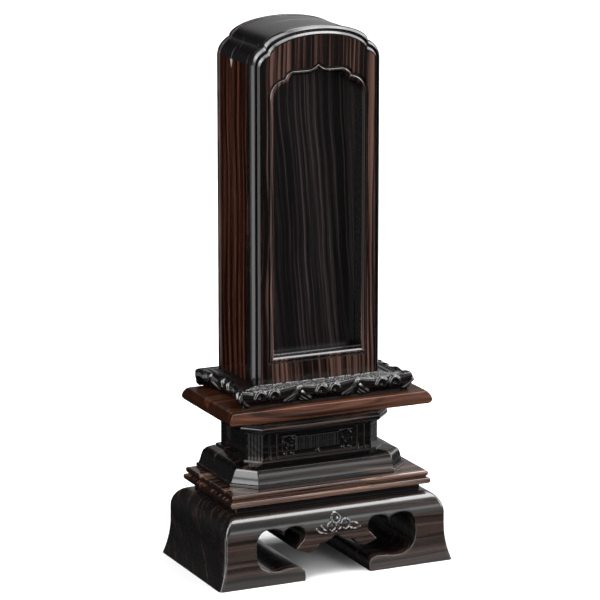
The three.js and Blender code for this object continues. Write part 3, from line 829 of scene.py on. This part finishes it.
    def build(self) -> None:
        """Makes the stand: the opening's wall with its rounded edges, two faces, two flanks, top and feet."""
        last = self.shoulder_start + self.roll * QUARTER
        climb = np.linspace(0, self.shoulder_start, 22)[:-1]
        climb = np.concatenate([climb, np.linspace(self.shoulder_start, last, 22)])
        lip = []
        for angle in np.linspace(0, QUARTER, 4):
            x, height = self.grown(self.opening(), self.lip * (1 - math.sin(angle))).T
            deep = self.reach(self.way(height))[1] - self.lip * (1 - math.cos(angle))
            lip.append(np.stack([x, -deep, height], axis=1))
        front = np.stack(lip)
        rear = front[::-1] * (1, -1, 1)
        share = np.linspace(0, 1, 12)[1:-1, None, None]
        wall = np.concatenate([front, (1 - share) * front[-1:] + share * rear[:1], rear])
        skin = Skin()
        skin.grid(wall)
        x, way, faces = self.face(np.stack([front[0, :, 0], self.way(front[0, :, 2])], axis=1), climb)
        deep = self.reach(way)[1]
        for y in (-deep - self.carved(x, way), deep):
            skin.add(np.stack([x, y, self.level(way)], axis=1), faces)
        flank, toe = self.flank(climb), wall[:, -1]
        long = np.linspace(flank[-1, -1], flank[-1, -1] * (-1, 1, 1), self.long_steps)[1:-1]
        half = np.concatenate([flank[:, -1], long])
        skin.cap(np.concatenate([half, half * (-1, -1, 1)]))
        fore = np.linspace(toe[0], flank[0, 0], self.short_steps)[1:-1]
        foot = np.concatenate([toe[::-1], fore, flank[:, 0], fore[::-1] * (1, -1, 1)])
        for side in (-1, 1):
            skin.grid(flank * (side, 1, 1))
            skin.cap(foot * (side, 1, 1))
        skin.make("scroll_stand", Wood.STAND, PEDESTAL, "dark_wood", "stand")


@dataclass
class Waist:
    """The waist's two fluted front pilasters, and the front panel with its strips and ribbed plaque.

    A knob of the panel is its place across, its height, its flattening, its reach and its depth.
    """

    plan: Plan = WAIST_PLAN
    bottom: float = 39.5
    top: float = 48.3
    inset: float = 3.4
    recess: float = 0.7
    flutes: int = 5
    flute_depth: float = 0.4
    flute_margin: float = 0.08
    flute_share: float = 0.16
    strip_edge: float = 1.65
    strip_width: float = 3.6
    strip_depth: float = 0.5
    border_width: float = 0.75
    border_depth: float = 0.35
    knobs: tuple[tuple[float, ...], ...] = (
        (9.6, 1.0, 0.8, 0.9, 0.75), (12.2, 1.0, 0.8, 0.9, 0.75), (0.0, 0.9, 0.7, 1.1, 0.6))
    plaque_half_width: float = 13.4
    plaque_height: float = 5.8
    plaque_ground: float = 0.12
    rib_reach: float = 8.3
    rib_pitch: float = 0.9
    rib_ground: float = 0.25
    rib_depth: float = 0.4
    scroll_across: float = 11.0
    scroll_radius: float = 2.45
    scroll_tightening: float = 0.17
    scroll_depth: float = 0.65

    def pilaster(self, hand: Hand) -> None:
        """Makes a pilaster: its cut face is flat bands, parted by narrow grooves of squared cosine section.

        Args:
            hand: Which one.
        """
        outer, front, cut = self.plan.half_width, -self.plan.front, self.plan.cut
        inner, behind = outer - self.inset, front + self.inset
        start, end = np.array([(outer - cut, front)]), np.array([(outer, front + cut)])
        share = np.linspace(0.0, 1.0, 121)[:, None]
        across = share * self.flutes
        dip = self.flute_depth * ridge(across - np.round(across), self.flute_share)
        place = self.flute_margin + (1 - 2 * self.flute_margin) * share
        face = start + (end - start) * place + dip * np.array([-1, 1]) / math.sqrt(2)
        back = [(inner, front + cut), (inner, behind), (outer - cut, behind)]
        plan = np.concatenate([start, face, end, back]) * (hand.value, 1)
        skin = Skin()
        levels = np.linspace(self.bottom, self.top, 12)
        skin.loft(np.stack([np.column_stack([plan, np.full(len(plan), level)]) for level in levels]))
        skin.make(f"fluted_pilaster_{hand.label}", Wood.DARK, PEDESTAL, "dark_wood",
                  f"pilaster_front_{hand.label}", crease=30.0)

    def panel(self) -> None:
        """Makes the front panel: a height field with two upright strips, and small feet along the sill."""
        edge = self.plan.half_width - self.plan.cut
        x, z = np.meshgrid(np.linspace(-edge, edge, 402), np.linspace(self.bottom, self.top, 74))
        away = np.abs(np.abs(x) - (edge - self.strip_edge - self.strip_width / 2)) - self.strip_width / 2
        border = np.minimum(z - self.bottom, self.top - z)
        rises = [
            self.strip_depth * (smooth_step(away, 0.0, -0.3) - 0.3 * smooth_step(away, -0.5, -0.9)),
            self.border_depth * smooth_step(border, self.border_width, self.border_width - 0.25),
        ]
        for across, up, flat, reach, depth in self.knobs:
            far = np.hypot(np.abs(x) - across, (z - self.bottom - up) * flat)
            rises.append(depth * ridge(far, reach))
        y = self.recess - self.plan.front - np.max(rises, axis=0)
        skin = Skin()
        skin.relief(np.stack([x, y, z], axis=-1), self.inset - self.plan.front)
        skin.make("waist_panel", Wood.RECESS, PEDESTAL, "dark_wood", "waist_panel_front", crease=50.0)

    def plaque(self) -> None:
        """Makes the plaque: round ribs between two scrolls, each a ridge along a spiral."""
        half, middle = self.plaque_height / 2, (self.bottom + self.top) / 2
        x, z = np.meshgrid(np.linspace(-self.plaque_half_width, self.plaque_half_width, 260),
                           np.linspace(middle - half, middle + half, 60))
        edge_x, edge_z = self.plaque_half_width - np.abs(x), half - np.abs(z - middle)
        ribs = np.abs(np.sin(math.pi * x / self.rib_pitch)) ** 0.7
        among = smooth_step(np.abs(x), self.rib_reach, self.rib_reach - 0.3)
        rise = self.rib_ground + self.rib_depth * ribs * among * smooth_step(edge_z, 0.2, 0.6)
        turn = np.linspace(0.2 * math.pi, 3.4 * math.pi, 60)
        radius = self.scroll_radius - self.scroll_tightening * turn
        spiral = arc(self.scroll_across, middle, radius, math.pi - turn)
        place = np.stack([np.abs(x).ravel(), z.ravel()], axis=1)
        scroll = ridge(distance_to_line(place, spiral), 0.5).reshape(x.shape)
        border = smooth_step(np.minimum(edge_x, edge_z), 0.0, 0.35)
        rise = (np.where(among > 0, rise, self.plaque_ground) + self.scroll_depth * scroll) * border
        back = self.recess - self.plan.front
        skin = Skin()
        skin.relief(np.stack([x, back - 0.05 - np.maximum(rise, 0.0), z], axis=-1), back)
        skin.make("ribbed_plaque", Wood.RECESS, PEDESTAL, "dark_wood", "waist_plaque", crease=60.0)

    def build(self) -> None:
        """Makes the pilasters, the panel and the plaque."""
        for hand in Hand:
            self.pilaster(hand)
        self.panel()
        self.plaque()


@dataclass
class PetalTray:
    """The carved tray: leaf blades and curls round its edge, a pebbled top border, hollow sides.

    A side's number is 0 for the front, 1 for the left or the right and 2 for the rear.
    """

    half_width: float = 33.5
    front: float = 18.0
    rear: float = 21.4
    bottom: float = 60.2
    height: float = 5.9
    foot: float = 1.8
    corner: float = 2.0
    side_hollow: float = 2.4
    ground: float = 1.0
    box_half_width: float = 23.8
    box_front: float = 9.3
    pebble: float = 0.85
    plain: float = 0.85
    leaf: float = 10.9
    leaf_reach: float = 6.0
    curls: tuple[float, ...] = (2.5, 20.2, 25.2)
    side_centre: float = 1.7
    side_leaf: float = 9.6
    side_curls: tuple[float, ...] = (2.3, 15.2)
    bow_reach: float = 17.5
    band_places: tuple[float, ...] = (40.3, 41.5, 45.3, 46.5)
    front_steps: int = 280
    side_steps: int = 170
    corner_steps: int = 12
    edge_steps: int = 44
    top_steps: int = 62

    def stations(self) -> np.ndarray:
        """Stations round the tray from the front's left end.

        Returns:
            Rows of x, y, the outward direction's x and y, and the side's number.
        """
        wide, r = self.half_width - self.corner, self.corner
        front, rear = -self.front + r, self.rear - r
        x, y = np.linspace(-wide, wide, self.front_steps), np.linspace(front, rear, self.side_steps)
        turn = np.linspace(0, QUARTER, self.corner_steps)[1:-1]
        sin, cos = np.sin(turn), np.cos(turn)

        def rows(*columns: object) -> np.ndarray:
            """Sets columns side by side, with single values repeated."""
            return np.stack(np.broadcast_arrays(*columns), axis=1)

        right = np.concatenate([
            rows(wide + r * sin, front - r * cos, sin, -cos, 0),
            rows(self.half_width, y, 1, 0, 1),
            rows(wide + r * cos, rear + r * sin, cos, sin, 2),
        ])
        ends = rows(x, -self.front, 0, -1, 0), rows(x[::-1], self.rear, 0, 1, 2)
        return np.concatenate([ends[0], right, ends[1], right[::-1] * (-1, 1, -1, 1, 1)])

    def rim(self, along: np.ndarray, which: np.ndarray) -> np.ndarray:
        """The scalloped height of the rim: the highest of its lobes, and plain at the rear.

        Args:
            along: Distance along the side.
            which: The side's number.

        Returns:
            Height over the tray's flat top.
        """
        def highest(*lobes: tuple[float, float, float, float]) -> np.ndarray:
            """The upper edge of lobes, whose peaks fall by a power of the distance from their centres.

            Args:
                lobes: Each a centre, a reach, a peak and the power.

            Returns:
                The height of the edge.
            """
            away = np.abs(along)
            falls = [peak - 1.1 * (np.abs(away - centre) / reach) ** power
                     for centre, reach, peak, power in lobes]
            return np.maximum(np.max(falls, axis=0), -0.75)

        front = highest((self.leaf, self.leaf_reach, 0.6, 1.0), (32.0, 5.0, 0.15, 1.3),
                        *((centre, 2.6, 0.05, 2.0) for centre in self.curls))
        side = highest((self.side_leaf, 4.8, 0.4, 1.0), (19.0, 3.0, 0.15, 1.3),
                       *((centre, 2.4, 0.05, 2.0) for centre in self.side_curls))
        return np.where(which == 0, front, np.where(which == 1, side, -0.2))

    def carving(self, along: np.ndarray, up: np.ndarray, which: np.ndarray) -> np.ndarray:
        """How far the carved edge stands out: crisp blades either side of each leaf's tip, and curls.

        Args:
            along: Distance along the side.
            up: Height above the tray's foot.
            which: The side's number.

        Returns:
            Outward distance.
        """
        def figure(leaf: float, reach: float, curls: tuple[float, ...], end: float) -> np.ndarray:
            """The relief of one side: the highest of its leaf, knob, curls and corner petal.

            Args:
                leaf: The leaf's centre.
                reach: Half its width.
                curls: The curls' centres.
                end: Where the petal's tip is.

            Returns:
                Outward distance.
            """
            away = np.abs(along)
            offset = np.abs(away - leaf)
            below = (self.height - 1.0 - up) - offset * 3.7 / reach
            blade = 0.8 * facet(below + 0.3, 1.25) + 0.5 * facet(below - 1.5, 0.8)
            blade = blade + 0.45 * facet(below - 2.6, 0.8)
            petal = (self.height - 1.3 - up) - (end - away) * 0.85
            strokes = 0.8 * facet(petal + 0.3, 1.25) + 0.55 * facet(petal - 1.5, 0.9)
            marks = [
                blade * smooth_step(offset, reach, reach - 1.2) * smooth_step(offset, -0.4, 0.9),
                0.9 * ridge(np.hypot(offset, (up - self.height + 1.2) * 0.7), 1.3),
                strokes * smooth_step(away, end - 5.2, end - 4.2),
            ]
            for centre in curls:
                far = np.hypot(away - centre, (up - 3.4) * 0.85)
                marks.append(0.95 * ridge(far - 1.75, 0.85) * smooth_step(up, 1.4, 2.8))
                marks.append(0.8 * ridge(np.hypot(away - centre - 0.2, up - 2.9), 0.9))
            return np.max(marks, axis=0)

        front = figure(self.leaf, self.leaf_reach, self.curls, self.half_width - 0.3)
        side = figure(self.side_leaf, 4.6, self.side_curls, 19.4)
        side = side + (self.plain - side) * smooth_step(along, 11.5, 13.5)
        return np.where(which == 0, front, np.where(which == 1, side, self.plain))

    def upper(self, x: np.ndarray, y: np.ndarray, in_from_rim: np.ndarray, which: np.ndarray) -> np.ndarray:
        """The top's relief: pebbles at the front, lines along the sides, bands across the corners.

        Args:
            x: Place across.
            y: Place from front to back.
            in_from_rim: Distance inwards from the rim.
            which: The side's number.

        Returns:
            Height over the tray's flat top, at most nothing beside the box.
        """
        warp = 0.18 * np.sin(1.9 * x + 0.8 * y) + 0.12 * np.sin(3.1 * y - 1.3 * x)
        wave = 2 * math.pi / self.pebble
        dots = np.cos(wave * (x + warp) * 0.71 + wave * y * 0.6)
        dots = dots * np.cos(wave * (x - warp) * 0.71 - wave * y * 0.6)
        corner = np.abs(x) - y
        bands = sum(ridge(corner - place, 0.5) for place in self.band_places)
        front = 0.36 * dots * smooth_step(corner, 40.2, 39.6) + 0.42 * bands
        lines = 0.5 + 0.5 * np.cos(2 * math.pi * (np.abs(x) - self.box_half_width) / 2.3)
        side = 0.32 * lines**2 + 0.3 * bands * (y < 0)
        field = np.where(which == 0, front, np.where(which == 1, side, 0.05))
        bead = 0.62 * ridge(in_from_rim - 0.62, 0.62) * (which < 2)
        beside = smooth_step(np.maximum(np.abs(x) - self.box_half_width, -y - self.box_front), 0.0, 0.5)
        return (field * smooth_step(in_from_rim, 1.3, 1.7) - 0.36) * beside + bead - 0.04

    def build(self) -> None:
        """Makes the tray: rows go from its foot up the carved edge, over the rim and in across the top."""
        stations = self.stations()
        place, out, which = stations[:, :2], stations[:, 2:4], stations[:, 4]
        along = np.where(which == 1, place[:, 1] - self.side_centre, place[:, 0])
        up = np.linspace(0, self.height, self.edge_steps)[:, None]
        share = up / self.height
        ogee = self.foot * (1 - smooth_step(share, 0.05, 0.72)) * np.where(which == 2, 0.25, 1.0)
        bow = np.cos(np.clip(along / self.bow_reach, -1, 1) * QUARTER) ** 1.2
        relief = self.carving(along, up, which) * smooth_step(share, 0.0, 0.2)
        reach = -ogee - np.where(which == 1, self.side_hollow * bow, 0.0) + relief - self.ground
        reach = np.minimum(reach, -0.02) - 0.25 * smooth_step(share, 0.9, 1.0)
        outer = place + out * reach[..., None]
        rim = self.rim(along, which)
        wall = np.concatenate([outer, (self.bottom + up * (1 + rim / self.height))[..., None]], axis=-1)
        inner = np.clip(place, (-20.0, -6.0), (20.0, 17.0))
        top = outer[-1] + (inner - outer[-1]) * np.linspace(0, 1, self.top_steps)[1:, None, None]
        travelled = np.linalg.norm(top - outer[-1], axis=-1)
        x, y = top[..., 0], top[..., 1]
        lift = self.upper(x, y, travelled, which) + rim * smooth_step(travelled, 2.2, 0.0)
        under_box = (np.abs(x) < self.box_half_width) & (y > -self.box_front)
        level = self.bottom + self.height + np.where(under_box, -0.05, lift)
        skin = Skin()
        skin.loft(np.concatenate([wall, np.concatenate([top, level[..., None]], axis=-1)]))
        skin.make("carved_tray", Wood.SMOKE, PEDESTAL, "dark_wood", "petal_tray", crease=70.0)


# The box


@dataclass
class BoxOutline:
    """The arched outline of the box in the front view, measured from its foot."""

    half_width: float = 23.8
    shoulder: float = 109.1
    height: float = 121.0
    notch_across: float = 19.4
    notch_height: float = 114.9
    notch_step: float = 0.8
    foot: float = 66.1
    upright: int = 24

    def right(self, inset: float) -> np.ndarray:
        """The right half from foot to crown: upright, a bend over the shoulder, a small step, an arch.

        Args:
            inset: How far it is drawn in.

        Returns:
            Points (n, 2) as x and height above the box's foot.
        """
        half, spring, crown = self.half_width - inset, self.shoulder - 0.06 * inset, self.height - inset
        x, z = self.notch_across - 0.64 * inset, self.notch_height - 1.1 * inset
        return drawn(
            (half, 0.0), (self.upright, (half, spring)),
            (16, (half - 0.4, spring + 0.66 * (z - spring)), (x, z)), (2, (x - 0.2, z + self.notch_step)),
            (40, (x - 2.2, z + 4), (self.notch_across * 0.46, crown), (0, crown)))

    def over(self, inset: float) -> np.ndarray:
        """The whole outline from the left foot over the crown to the right foot."""
        right = self.right(inset)
        return np.concatenate([right * (-1, 1), right[-2::-1]])

    def arch(self, inset: float) -> np.ndarray:
        """The outline from the left shoulder over the crown to the right shoulder.

        Args:
            inset: How far it is drawn in.

        Returns:
            Points (n, 2), the two ends at the shoulder's height.
        """
        line = self.over(inset)[self.upright - 1:1 - self.upright]
        line[[0, -1], 1] = self.shoulder
        return line

    def loop(self, inset: float) -> np.ndarray:
        """The closed outline from the middle of the foot round by the right."""
        right = self.right(inset)
        return mirrored(np.concatenate([np.linspace((0.0, 0.0), right[0], 6)[:-1], right]))

    def raised(self, line: np.ndarray, y: float) -> np.ndarray:
        """Stands a line of x and height up at a depth."""
        return np.stack([line[:, 0], np.full(len(line), y), line[:, 1] + self.foot], axis=1)

    def carried(self, line: Callable[[float], np.ndarray], section: Points) -> np.ndarray:
        """Stands up the line for each inset and Y of a section, one row each."""
        return np.stack([self.raised(line(inset), y) for inset, y in section])

    def roof(self, name: str, front: float, back: float, wall: float, body: str, node: str) -> None:
        """Makes the arched top of the cover or the shell, from shoulder to shoulder.

        Args:
            name: The piece's name.
            front: The Y where it starts.
            back: The Y where it ends.
            wall: Its thickness.
            body: The body that carries it.
            node: The solid that it stands for.
        """
        soft = 0.04
        section = [(soft, front), (0.0, front + soft), (0.0, back - soft), (soft, back)]
        section += [(wall, back), (wall, front)]
        skin = Skin()
        skin.sweep(self.carried(self.arch, section))
        skin.make(name, Wood.SMOKE, body, "dark_wood", node)


@dataclass
class Cover:
    """The front cover: face board with its cusped window, beaded rim, and the roof's front half."""

    outline: BoxOutline
    front: float = -9.3
    inside: float = -3.3
    back: float = 9.1
    rim_width: float = 2.6
    rim_depth: float = 2.1
    wall: float = 3.2
    window_half_width: float = 16.7
    window_sill: float = 8.6
    window_spring: float = 96.0
    window_peak: float = 107.4
    bead_height: float = 0.25

    def window(self, grow: float) -> np.ndarray:
        """The window's closed outline, from the middle of the sill round by the right.

        Args:
            grow: How much larger than the opening itself.

        Returns:
            Points (n, 2) with as many stations as the box's own loop.
        """
        half, sill, peak = self.window_half_width, self.window_sill, self.window_peak
        right = drawn(
            (0.0, sill), (6, (half, sill)), (self.outline.upright, (half, self.window_spring)),
            (24, (half - 0.1, 101.9), (11.4, 103.0)), (12, (10.6, 105.2), (8.4, 105.5)), (6, (3.6, 105.5)),
            (17, (1.4, 105.7), (0.0, peak)))
        middle = (sill + peak) / 2
        return mirrored((right - (0, middle)) * (1 + grow / half, 1 + grow / (middle - sill)) + (0, middle))

    def face(self) -> None:
        """Makes the face board: rings from its back round its edge to the window and through it.

        The faces inside the window, from behind the bead to the board's back, get the darker smoke finish as
        painted shade in the recess.
        """
        place, front = self.outline, self.front
        bead, step = front - self.bead_height, self.inside - 1.8
        lip = softened(
            [(2.2, front), (1.9, front), (1.84, front + 0.9), (1.38, front + 0.9), (1.3, front + 0.2),
             (0.9, bead), (0.4, bead), (-0.25, bead + 0.66), (-0.2, front + 1.0), (0.0, front + 1.2),
             (0.0, step)],
            [0, 0.06, 0.05, 0.05, 0.2, 0.3, 0.2, 0.15, 0.1, 0.1, 0])
        sill = np.stack([self.window(0.0)[:, 0], self.window(-0.28)[:, 1]], axis=1)
        skin = Skin()
        skin.grid(np.concatenate([
            place.carried(place.loop, [(self.rim_width, y) for y in (self.inside, front)]),
            place.carried(self.window, lip),
            place.carried(lambda _: sill, [(0.0, y) for y in (step + 0.25, self.inside)]),
        ]), wrap_rows=True, wrap_columns=True)
        piece = skin.make("window_board", Wood.STREAKED, COVER, "striped_wood", "cover_face")
        # Painted shade: the faces in the window's recess get the darker smoke material instead of the
        # streaked wood.
        piece.data.materials.append(Wood.SMOKE.material)
        centres = np.empty(3 * len(piece.data.polygons))
        piece.data.polygons.foreach_get("center", centres)
        x, y, z = centres.reshape(-1, 3).T / MM
        level = z - place.foot
        shaded_reveal = (np.abs(x) < self.window_half_width + 0.1) & (y > front + 0.9) & (y < self.inside - 0.01)
        shaded_reveal &= (level > self.window_sill - 0.1) & (level < self.window_peak + 0.1)
        piece.data.polygons.foreach_set("material_index", shaded_reveal.astype(np.int32))

    def rim(self) -> None:
        """Makes the rim: its section of two beads and a groove is carried up, over and down the outline."""
        front, corner, width = self.front, self.front + self.rim_depth, self.rim_width
        section = softened(
            [(0.0, self.inside), (0.0, corner + 1.7), (-0.26, corner + 1.0), (-0.26, corner + 0.6),
             (0.07, corner - 0.15), (0.72, corner - 1.1), (1.02, corner - 1.0), (1.06, corner - 0.1),
             (1.54, corner - 0.1), (1.6, front + 0.85), (2.3, front), (2.34, front + 0.9),
             (2.56, front + 0.9), (width, front + 0.1), (width, self.inside)],
            [0.02, 0.2, 0.15, 0.15, 0.15, 0.12, 0.06, 0.06, 0.06, 0.1, 0.08, 0.05, 0.05, 0.03, 0.02],
            closed=True)
        skin = Skin()
        skin.sweep(self.outline.carried(self.outline.over, section))
        skin.make("beaded_rim", Wood.RIM, COVER, "striped_wood",
                  "cover_rim_left", "cover_rim_right", "cover_rim_arch", crease=50.0)

    def build(self) -> None:
        """Makes the face board, the rim and the roof, which ends a little before the shell's."""
        self.face()
        self.rim()
        self.outline.roof("roof_front", self.inside, self.back, self.wall, COVER, "cover_roof")


@dataclass
class Shell:
    """The rear shell's roof and back board, and the slips that stand in the box."""

    outline: BoxOutline
    front: float = 9.3
    inside: float = 18.7
    back: float = 21.2
    proud: float = 0.3
    wall: float = 3.2
    notch_reach: float = 1.1
    notch_depth: float = 1.1
    notch_height: float = 3.4
    slip_half_width: float = 19.8
    slip_bottom: float = 4.0
    slip_spring: float = 102.0
    slip_rise: float = 11.0

    def back_board(self) -> None:
        """Makes the back board, whose rim is rounded and stands a little proud of the sides."""
        edge = [(0.2, self.inside), (-self.proud, self.inside + 0.15), (-self.proud, self.back - 0.35),
                (0.35, self.back)]
        skin = Skin()
        skin.loft(self.outline.carried(self.outline.loop, softened(edge, [0, 0.5, 0.7, 0])))
        skin.make("back_board", Wood.STREAKED, PEDESTAL, "striped_wood", "shell_back_board")

    def slip_outline(self, inset: float) -> np.ndarray:
        """A slip's closed outline: straight sides and an elliptical head.

        Args:
            inset: How far it is drawn in.

        Returns:
            Points (n, 2) as x and height above the box's foot.
        """
        half, foot = self.slip_half_width - inset, self.slip_bottom + inset
        circle = arc(0.0, 0.0, 1.0, np.linspace(0, QUARTER, 40)[1:])
        head = circle * (half, self.slip_rise - inset) + (0.0, self.slip_spring)
        side = drawn((0.0, foot), (2, (half, foot)), (20, (half, self.slip_spring)))
        return mirrored(np.concatenate([side, head]))

    def slip(self, node: str) -> None:
        """Makes one name slip, blank and with slightly rounded edges.

        Args:
            node: The solid that it stands for.
        """
        low, high = node_box(node)
        front, back, soft = low[1], high[1], 0.2
        section = [(soft, front), (0.0, front + soft), (0.0, back - soft), (soft, back)]
        skin = Skin()
        skin.loft(self.outline.carried(self.slip_outline, section))
        skin.make(f"name_{node}", Wood.SLIP, node, "slip_wood", node)

    def nail_facet(self, hand: Hand, half: int, body: str) -> None:
        """Makes one sloping facet of the nail notch under a shoulder, fitted into the notch of a side board.

        Args:
            hand: Which side of the box.
            half: Minus one for the cover's half of the notch, one for the shell's.
            body: The body that carries it.
        """
        top, seam, gap = self.outline.shoulder + self.outline.foot, self.front - 0.1 + half * 0.12, 0.04
        low, far = top - self.notch_height + 0.3, seam + half * (self.notch_reach - 0.12)
        outer = hand.value * (self.outline.half_width - gap)
        inner = hand.value * (self.outline.half_width - self.notch_depth + gap)
        points = np.array([(outer, seam, low), (inner, seam, low), (inner, seam, top - gap),
                           (inner, far, top - gap), (outer, far, top - gap)])
        skin = Skin()
        skin.add(points, [[0, 2, 4], [1, 2, 3], [0, 1, 2], [2, 3, 4]])
        skin.add(points, [[0, 1, 3, 4]])
        end = "front" if half < 0 else "rear"
        skin.make(f"nail_facet_{hand.label}_{end}", Wood.SIDE, body, "striped_wood")

    def build(self) -> None:
        """Makes the back board, the roof's rear half, the nail notches' facets and the slips."""
        for hand in Hand:
            self.nail_facet(hand, -1, COVER)
            self.nail_facet(hand, 1, PEDESTAL)
        self.back_board()
        self.outline.roof("roof_rear", self.front, self.inside, self.wall, PEDESTAL, "shell_roof")
        for node in sorted(name for name in frame["nodes"] if name.startswith("slip_")):
            self.slip(node)


# Light, floor and camera


@dataclass(frozen=True)
class Glow:
    """A round soft panel of light, far away: its direction, the angles where it is full and where it ends."""

    aim: tuple[float, float, float]
    full: float
    fade: float
    strength: float


@dataclass
class Studio:
    """A pale floor, soft light and the camera at the photograph's angle."""

    azimuth: float = math.radians(-25.02)
    elevation: float = math.radians(13.35)
    distance: float = 1173.2
    across: float = 2.32
    down: float = -89.05
    focal_length: float = 201.96
    sensor: float = 36.0
    floor_half: float = 6000.0
    lamp_aim: tuple[float, float, float] = (0.0, 0.0, 95.0)
    low: float = 0.04
    horizon: float = 1.1
    sky: float = 0.3
    glows: tuple[Glow, ...] = (
        Glow((-0.97, 0.03, -0.23), 9, 18, 2.9),
        Glow((-0.70, 0.68, -0.23), 7, 13, 0.7),
        Glow((-0.88, -0.41, -0.30), 8, 16, 0.4),
        Glow((-0.49, -0.84, -0.23), 10, 20, 1.8),
        Glow((-0.90, -0.42, 0.12), 2, 14, 7.5),
        Glow((0.41, -0.86, 0.30), 3, 8, 2.6),
        Glow((-0.80, -0.32, 0.50), 10, 18, 7.0),
        Glow((-0.59, -0.21, 0.78), 11, 20, 9.0),
        Glow((-0.08, -0.13, 0.98), 11, 20, 7.0),
        Glow((0.42, -0.08, 0.90), 10, 17, 12.0),
        Glow((0.41, 0.35, 0.84), 9, 18, 5.0),
        Glow((0.80, -0.42, 0.40), 11, 20, 13.0),
        Glow((0.76, 0.17, 0.63), 12, 22, 5.0),
        Glow((0.90, 0.35, 0.26), 7, 13, 2.0),
        Glow((0.70, 0.67, -0.23), 9, 16, 1.4),
        Glow((0.42, 0.88, 0.22), 14, 26, 0.3),
    )

    def place_camera(self) -> None:
        """Sets the camera back along its view, then aside and up until the object is framed."""
        turn, rise = self.azimuth, self.elevation
        back = np.array([math.sin(turn) * math.cos(rise), -math.cos(turn) * math.cos(rise), math.sin(rise)])
        right = np.array([math.cos(turn), math.sin(turn), 0.0])
        up = np.cross(back, right)
        place = (back * self.distance - right * self.across - up * self.down) * MM
        lens = bpy.data.cameras.new("camera")
        lens.lens, lens.sensor_width = self.focal_length, self.sensor
        lens.clip_start, lens.clip_end = 0.05, 20.0
        camera = bpy.data.objects.new("camera", lens)
        axes = Matrix(np.stack([right, up, back], axis=1).tolist()).to_4x4()
        camera.matrix_world = Matrix.Translation(Vector(place)) @ axes
        bpy.context.scene.collection.objects.link(camera)
        bpy.context.scene.camera = camera

    def lamp(self, name: str, place: tuple[float, float, float], size: float, power: float) -> None:
        """Adds a soft square lamp that faces the object and is left out of the gloss.

        Args:
            name: The lamp's name.
            place: Where it stands.
            size: Its width and height.
            power: Its power, in watts.
        """
        light = bpy.data.lights.new(name, "AREA")
        light.shape, light.energy = "RECTANGLE", power
        light.size = light.size_y = size * MM
        holder = bpy.data.objects.new(name, light)
        turn = (Vector(self.lamp_aim) - Vector(place)).to_track_quat("-Z", "Y").to_matrix().to_4x4()
        holder.matrix_world = Matrix.Translation(Vector(place) * MM) @ turn
        holder.visible_glossy = False
        bpy.context.scene.collection.objects.link(holder)

    def lay_floor(self) -> None:
        """Lays a wide plain floor under the stand, left out of the gloss so that dark faces stay dark."""
        mesh = bpy.data.meshes.new("floor")
        corners = np.array([(-1, -1, 0), (1, -1, 0), (1, 1, 0), (-1, 1, 0)]) * self.floor_half * MM
        mesh.from_pydata(corners, [], [(0, 1, 2, 3)])
        floor = bpy.data.objects.new("floor", mesh)
        bpy.context.scene.collection.objects.link(floor)
        mesh.materials.append(bpy.data.materials.new("pale_floor"))
        nodes = Nodes(mesh.materials[0])
        grey = (0.55, 0.55, 0.55, 1.0)
        nodes.feed(nodes.end, {"Base Color": grey, "Roughness": 0.9, "Specular IOR Level": 0.0})
        floor.visible_glossy = False

    def light_room(self) -> None:
        """Lights the room: a grey band in front at the horizon, dark below and behind, and the glows.

        Smooth rises on the direction's height and on its way forward give the band, and one on the
        cosine from its aim gives each glow. Two lamps bring out the colours, from the left and right.
        """
        world = bpy.data.worlds.new("room")
        nodes = Nodes(world, "Background")
        place = nodes.add("TexCoord").outputs["Generated"]
        parts = nodes.add("SeparateXYZ", {0: place})

        def rise(value: bpy.types.NodeSocket, low: float, high: float, *ends: float) -> bpy.types.NodeSocket:
            """Maps a value smoothly from the range of low to high to that of the two ends."""
            inputs = dict(enumerate((value, low, high, *ends)))
            return nodes.add("MapRange", inputs, interpolation_type="SMOOTHSTEP").outputs[0]

        height, forward = parts.outputs["Z"], nodes.math("MULTIPLY", parts.outputs["Y"], -1.0)
        band = nodes.math("ADD", rise(height, -0.17, 0.0, self.low, self.horizon),
                          rise(height, 0.18, 0.42, 0.0, self.sky - self.horizon))
        total = nodes.math("MULTIPLY", band, rise(forward, -0.25, 0.5, 0.04, 1.0))
        for glow in self.glows:
            aim = {0: place, 1: Vector(glow.aim).normalized()}
            near = nodes.add("VectorMath", aim, operation="DOT_PRODUCT").outputs["Value"]
            edges = (math.cos(math.radians(angle)) for angle in (glow.fade, glow.full))
            total = nodes.math("ADD", total, rise(near, *edges, 0.0, glow.strength))
        nodes.feed(nodes.end, {"Strength": total, "Color": (1.0, 1.0, 1.0, 1.0)})
        bpy.context.scene.world = world
        self.lamp("key", (-900, 60, 650), 420, 5.5)
        self.lamp("fill", (850, -820, 350), 450, 8.0)

    def build(self) -> None:
        """Sets up the camera, the floor and the lights."""
        self.place_camera()
        self.lay_floor()
        self.light_room()
        bpy.context.scene.view_settings.view_transform = "Standard"


def main() -> None:
    """Builds the object's pieces in order, from the ground up."""
    logging.basicConfig(level=logging.INFO)
    Studio().build()
    dress_solids()
    outline = BoxOutline()
    for piece in (Stand(), *TIERS, Waist(), PetalTray(), Cover(outline), Shell(outline)):
        piece.build()


if __name__ == "__main__":
    main()
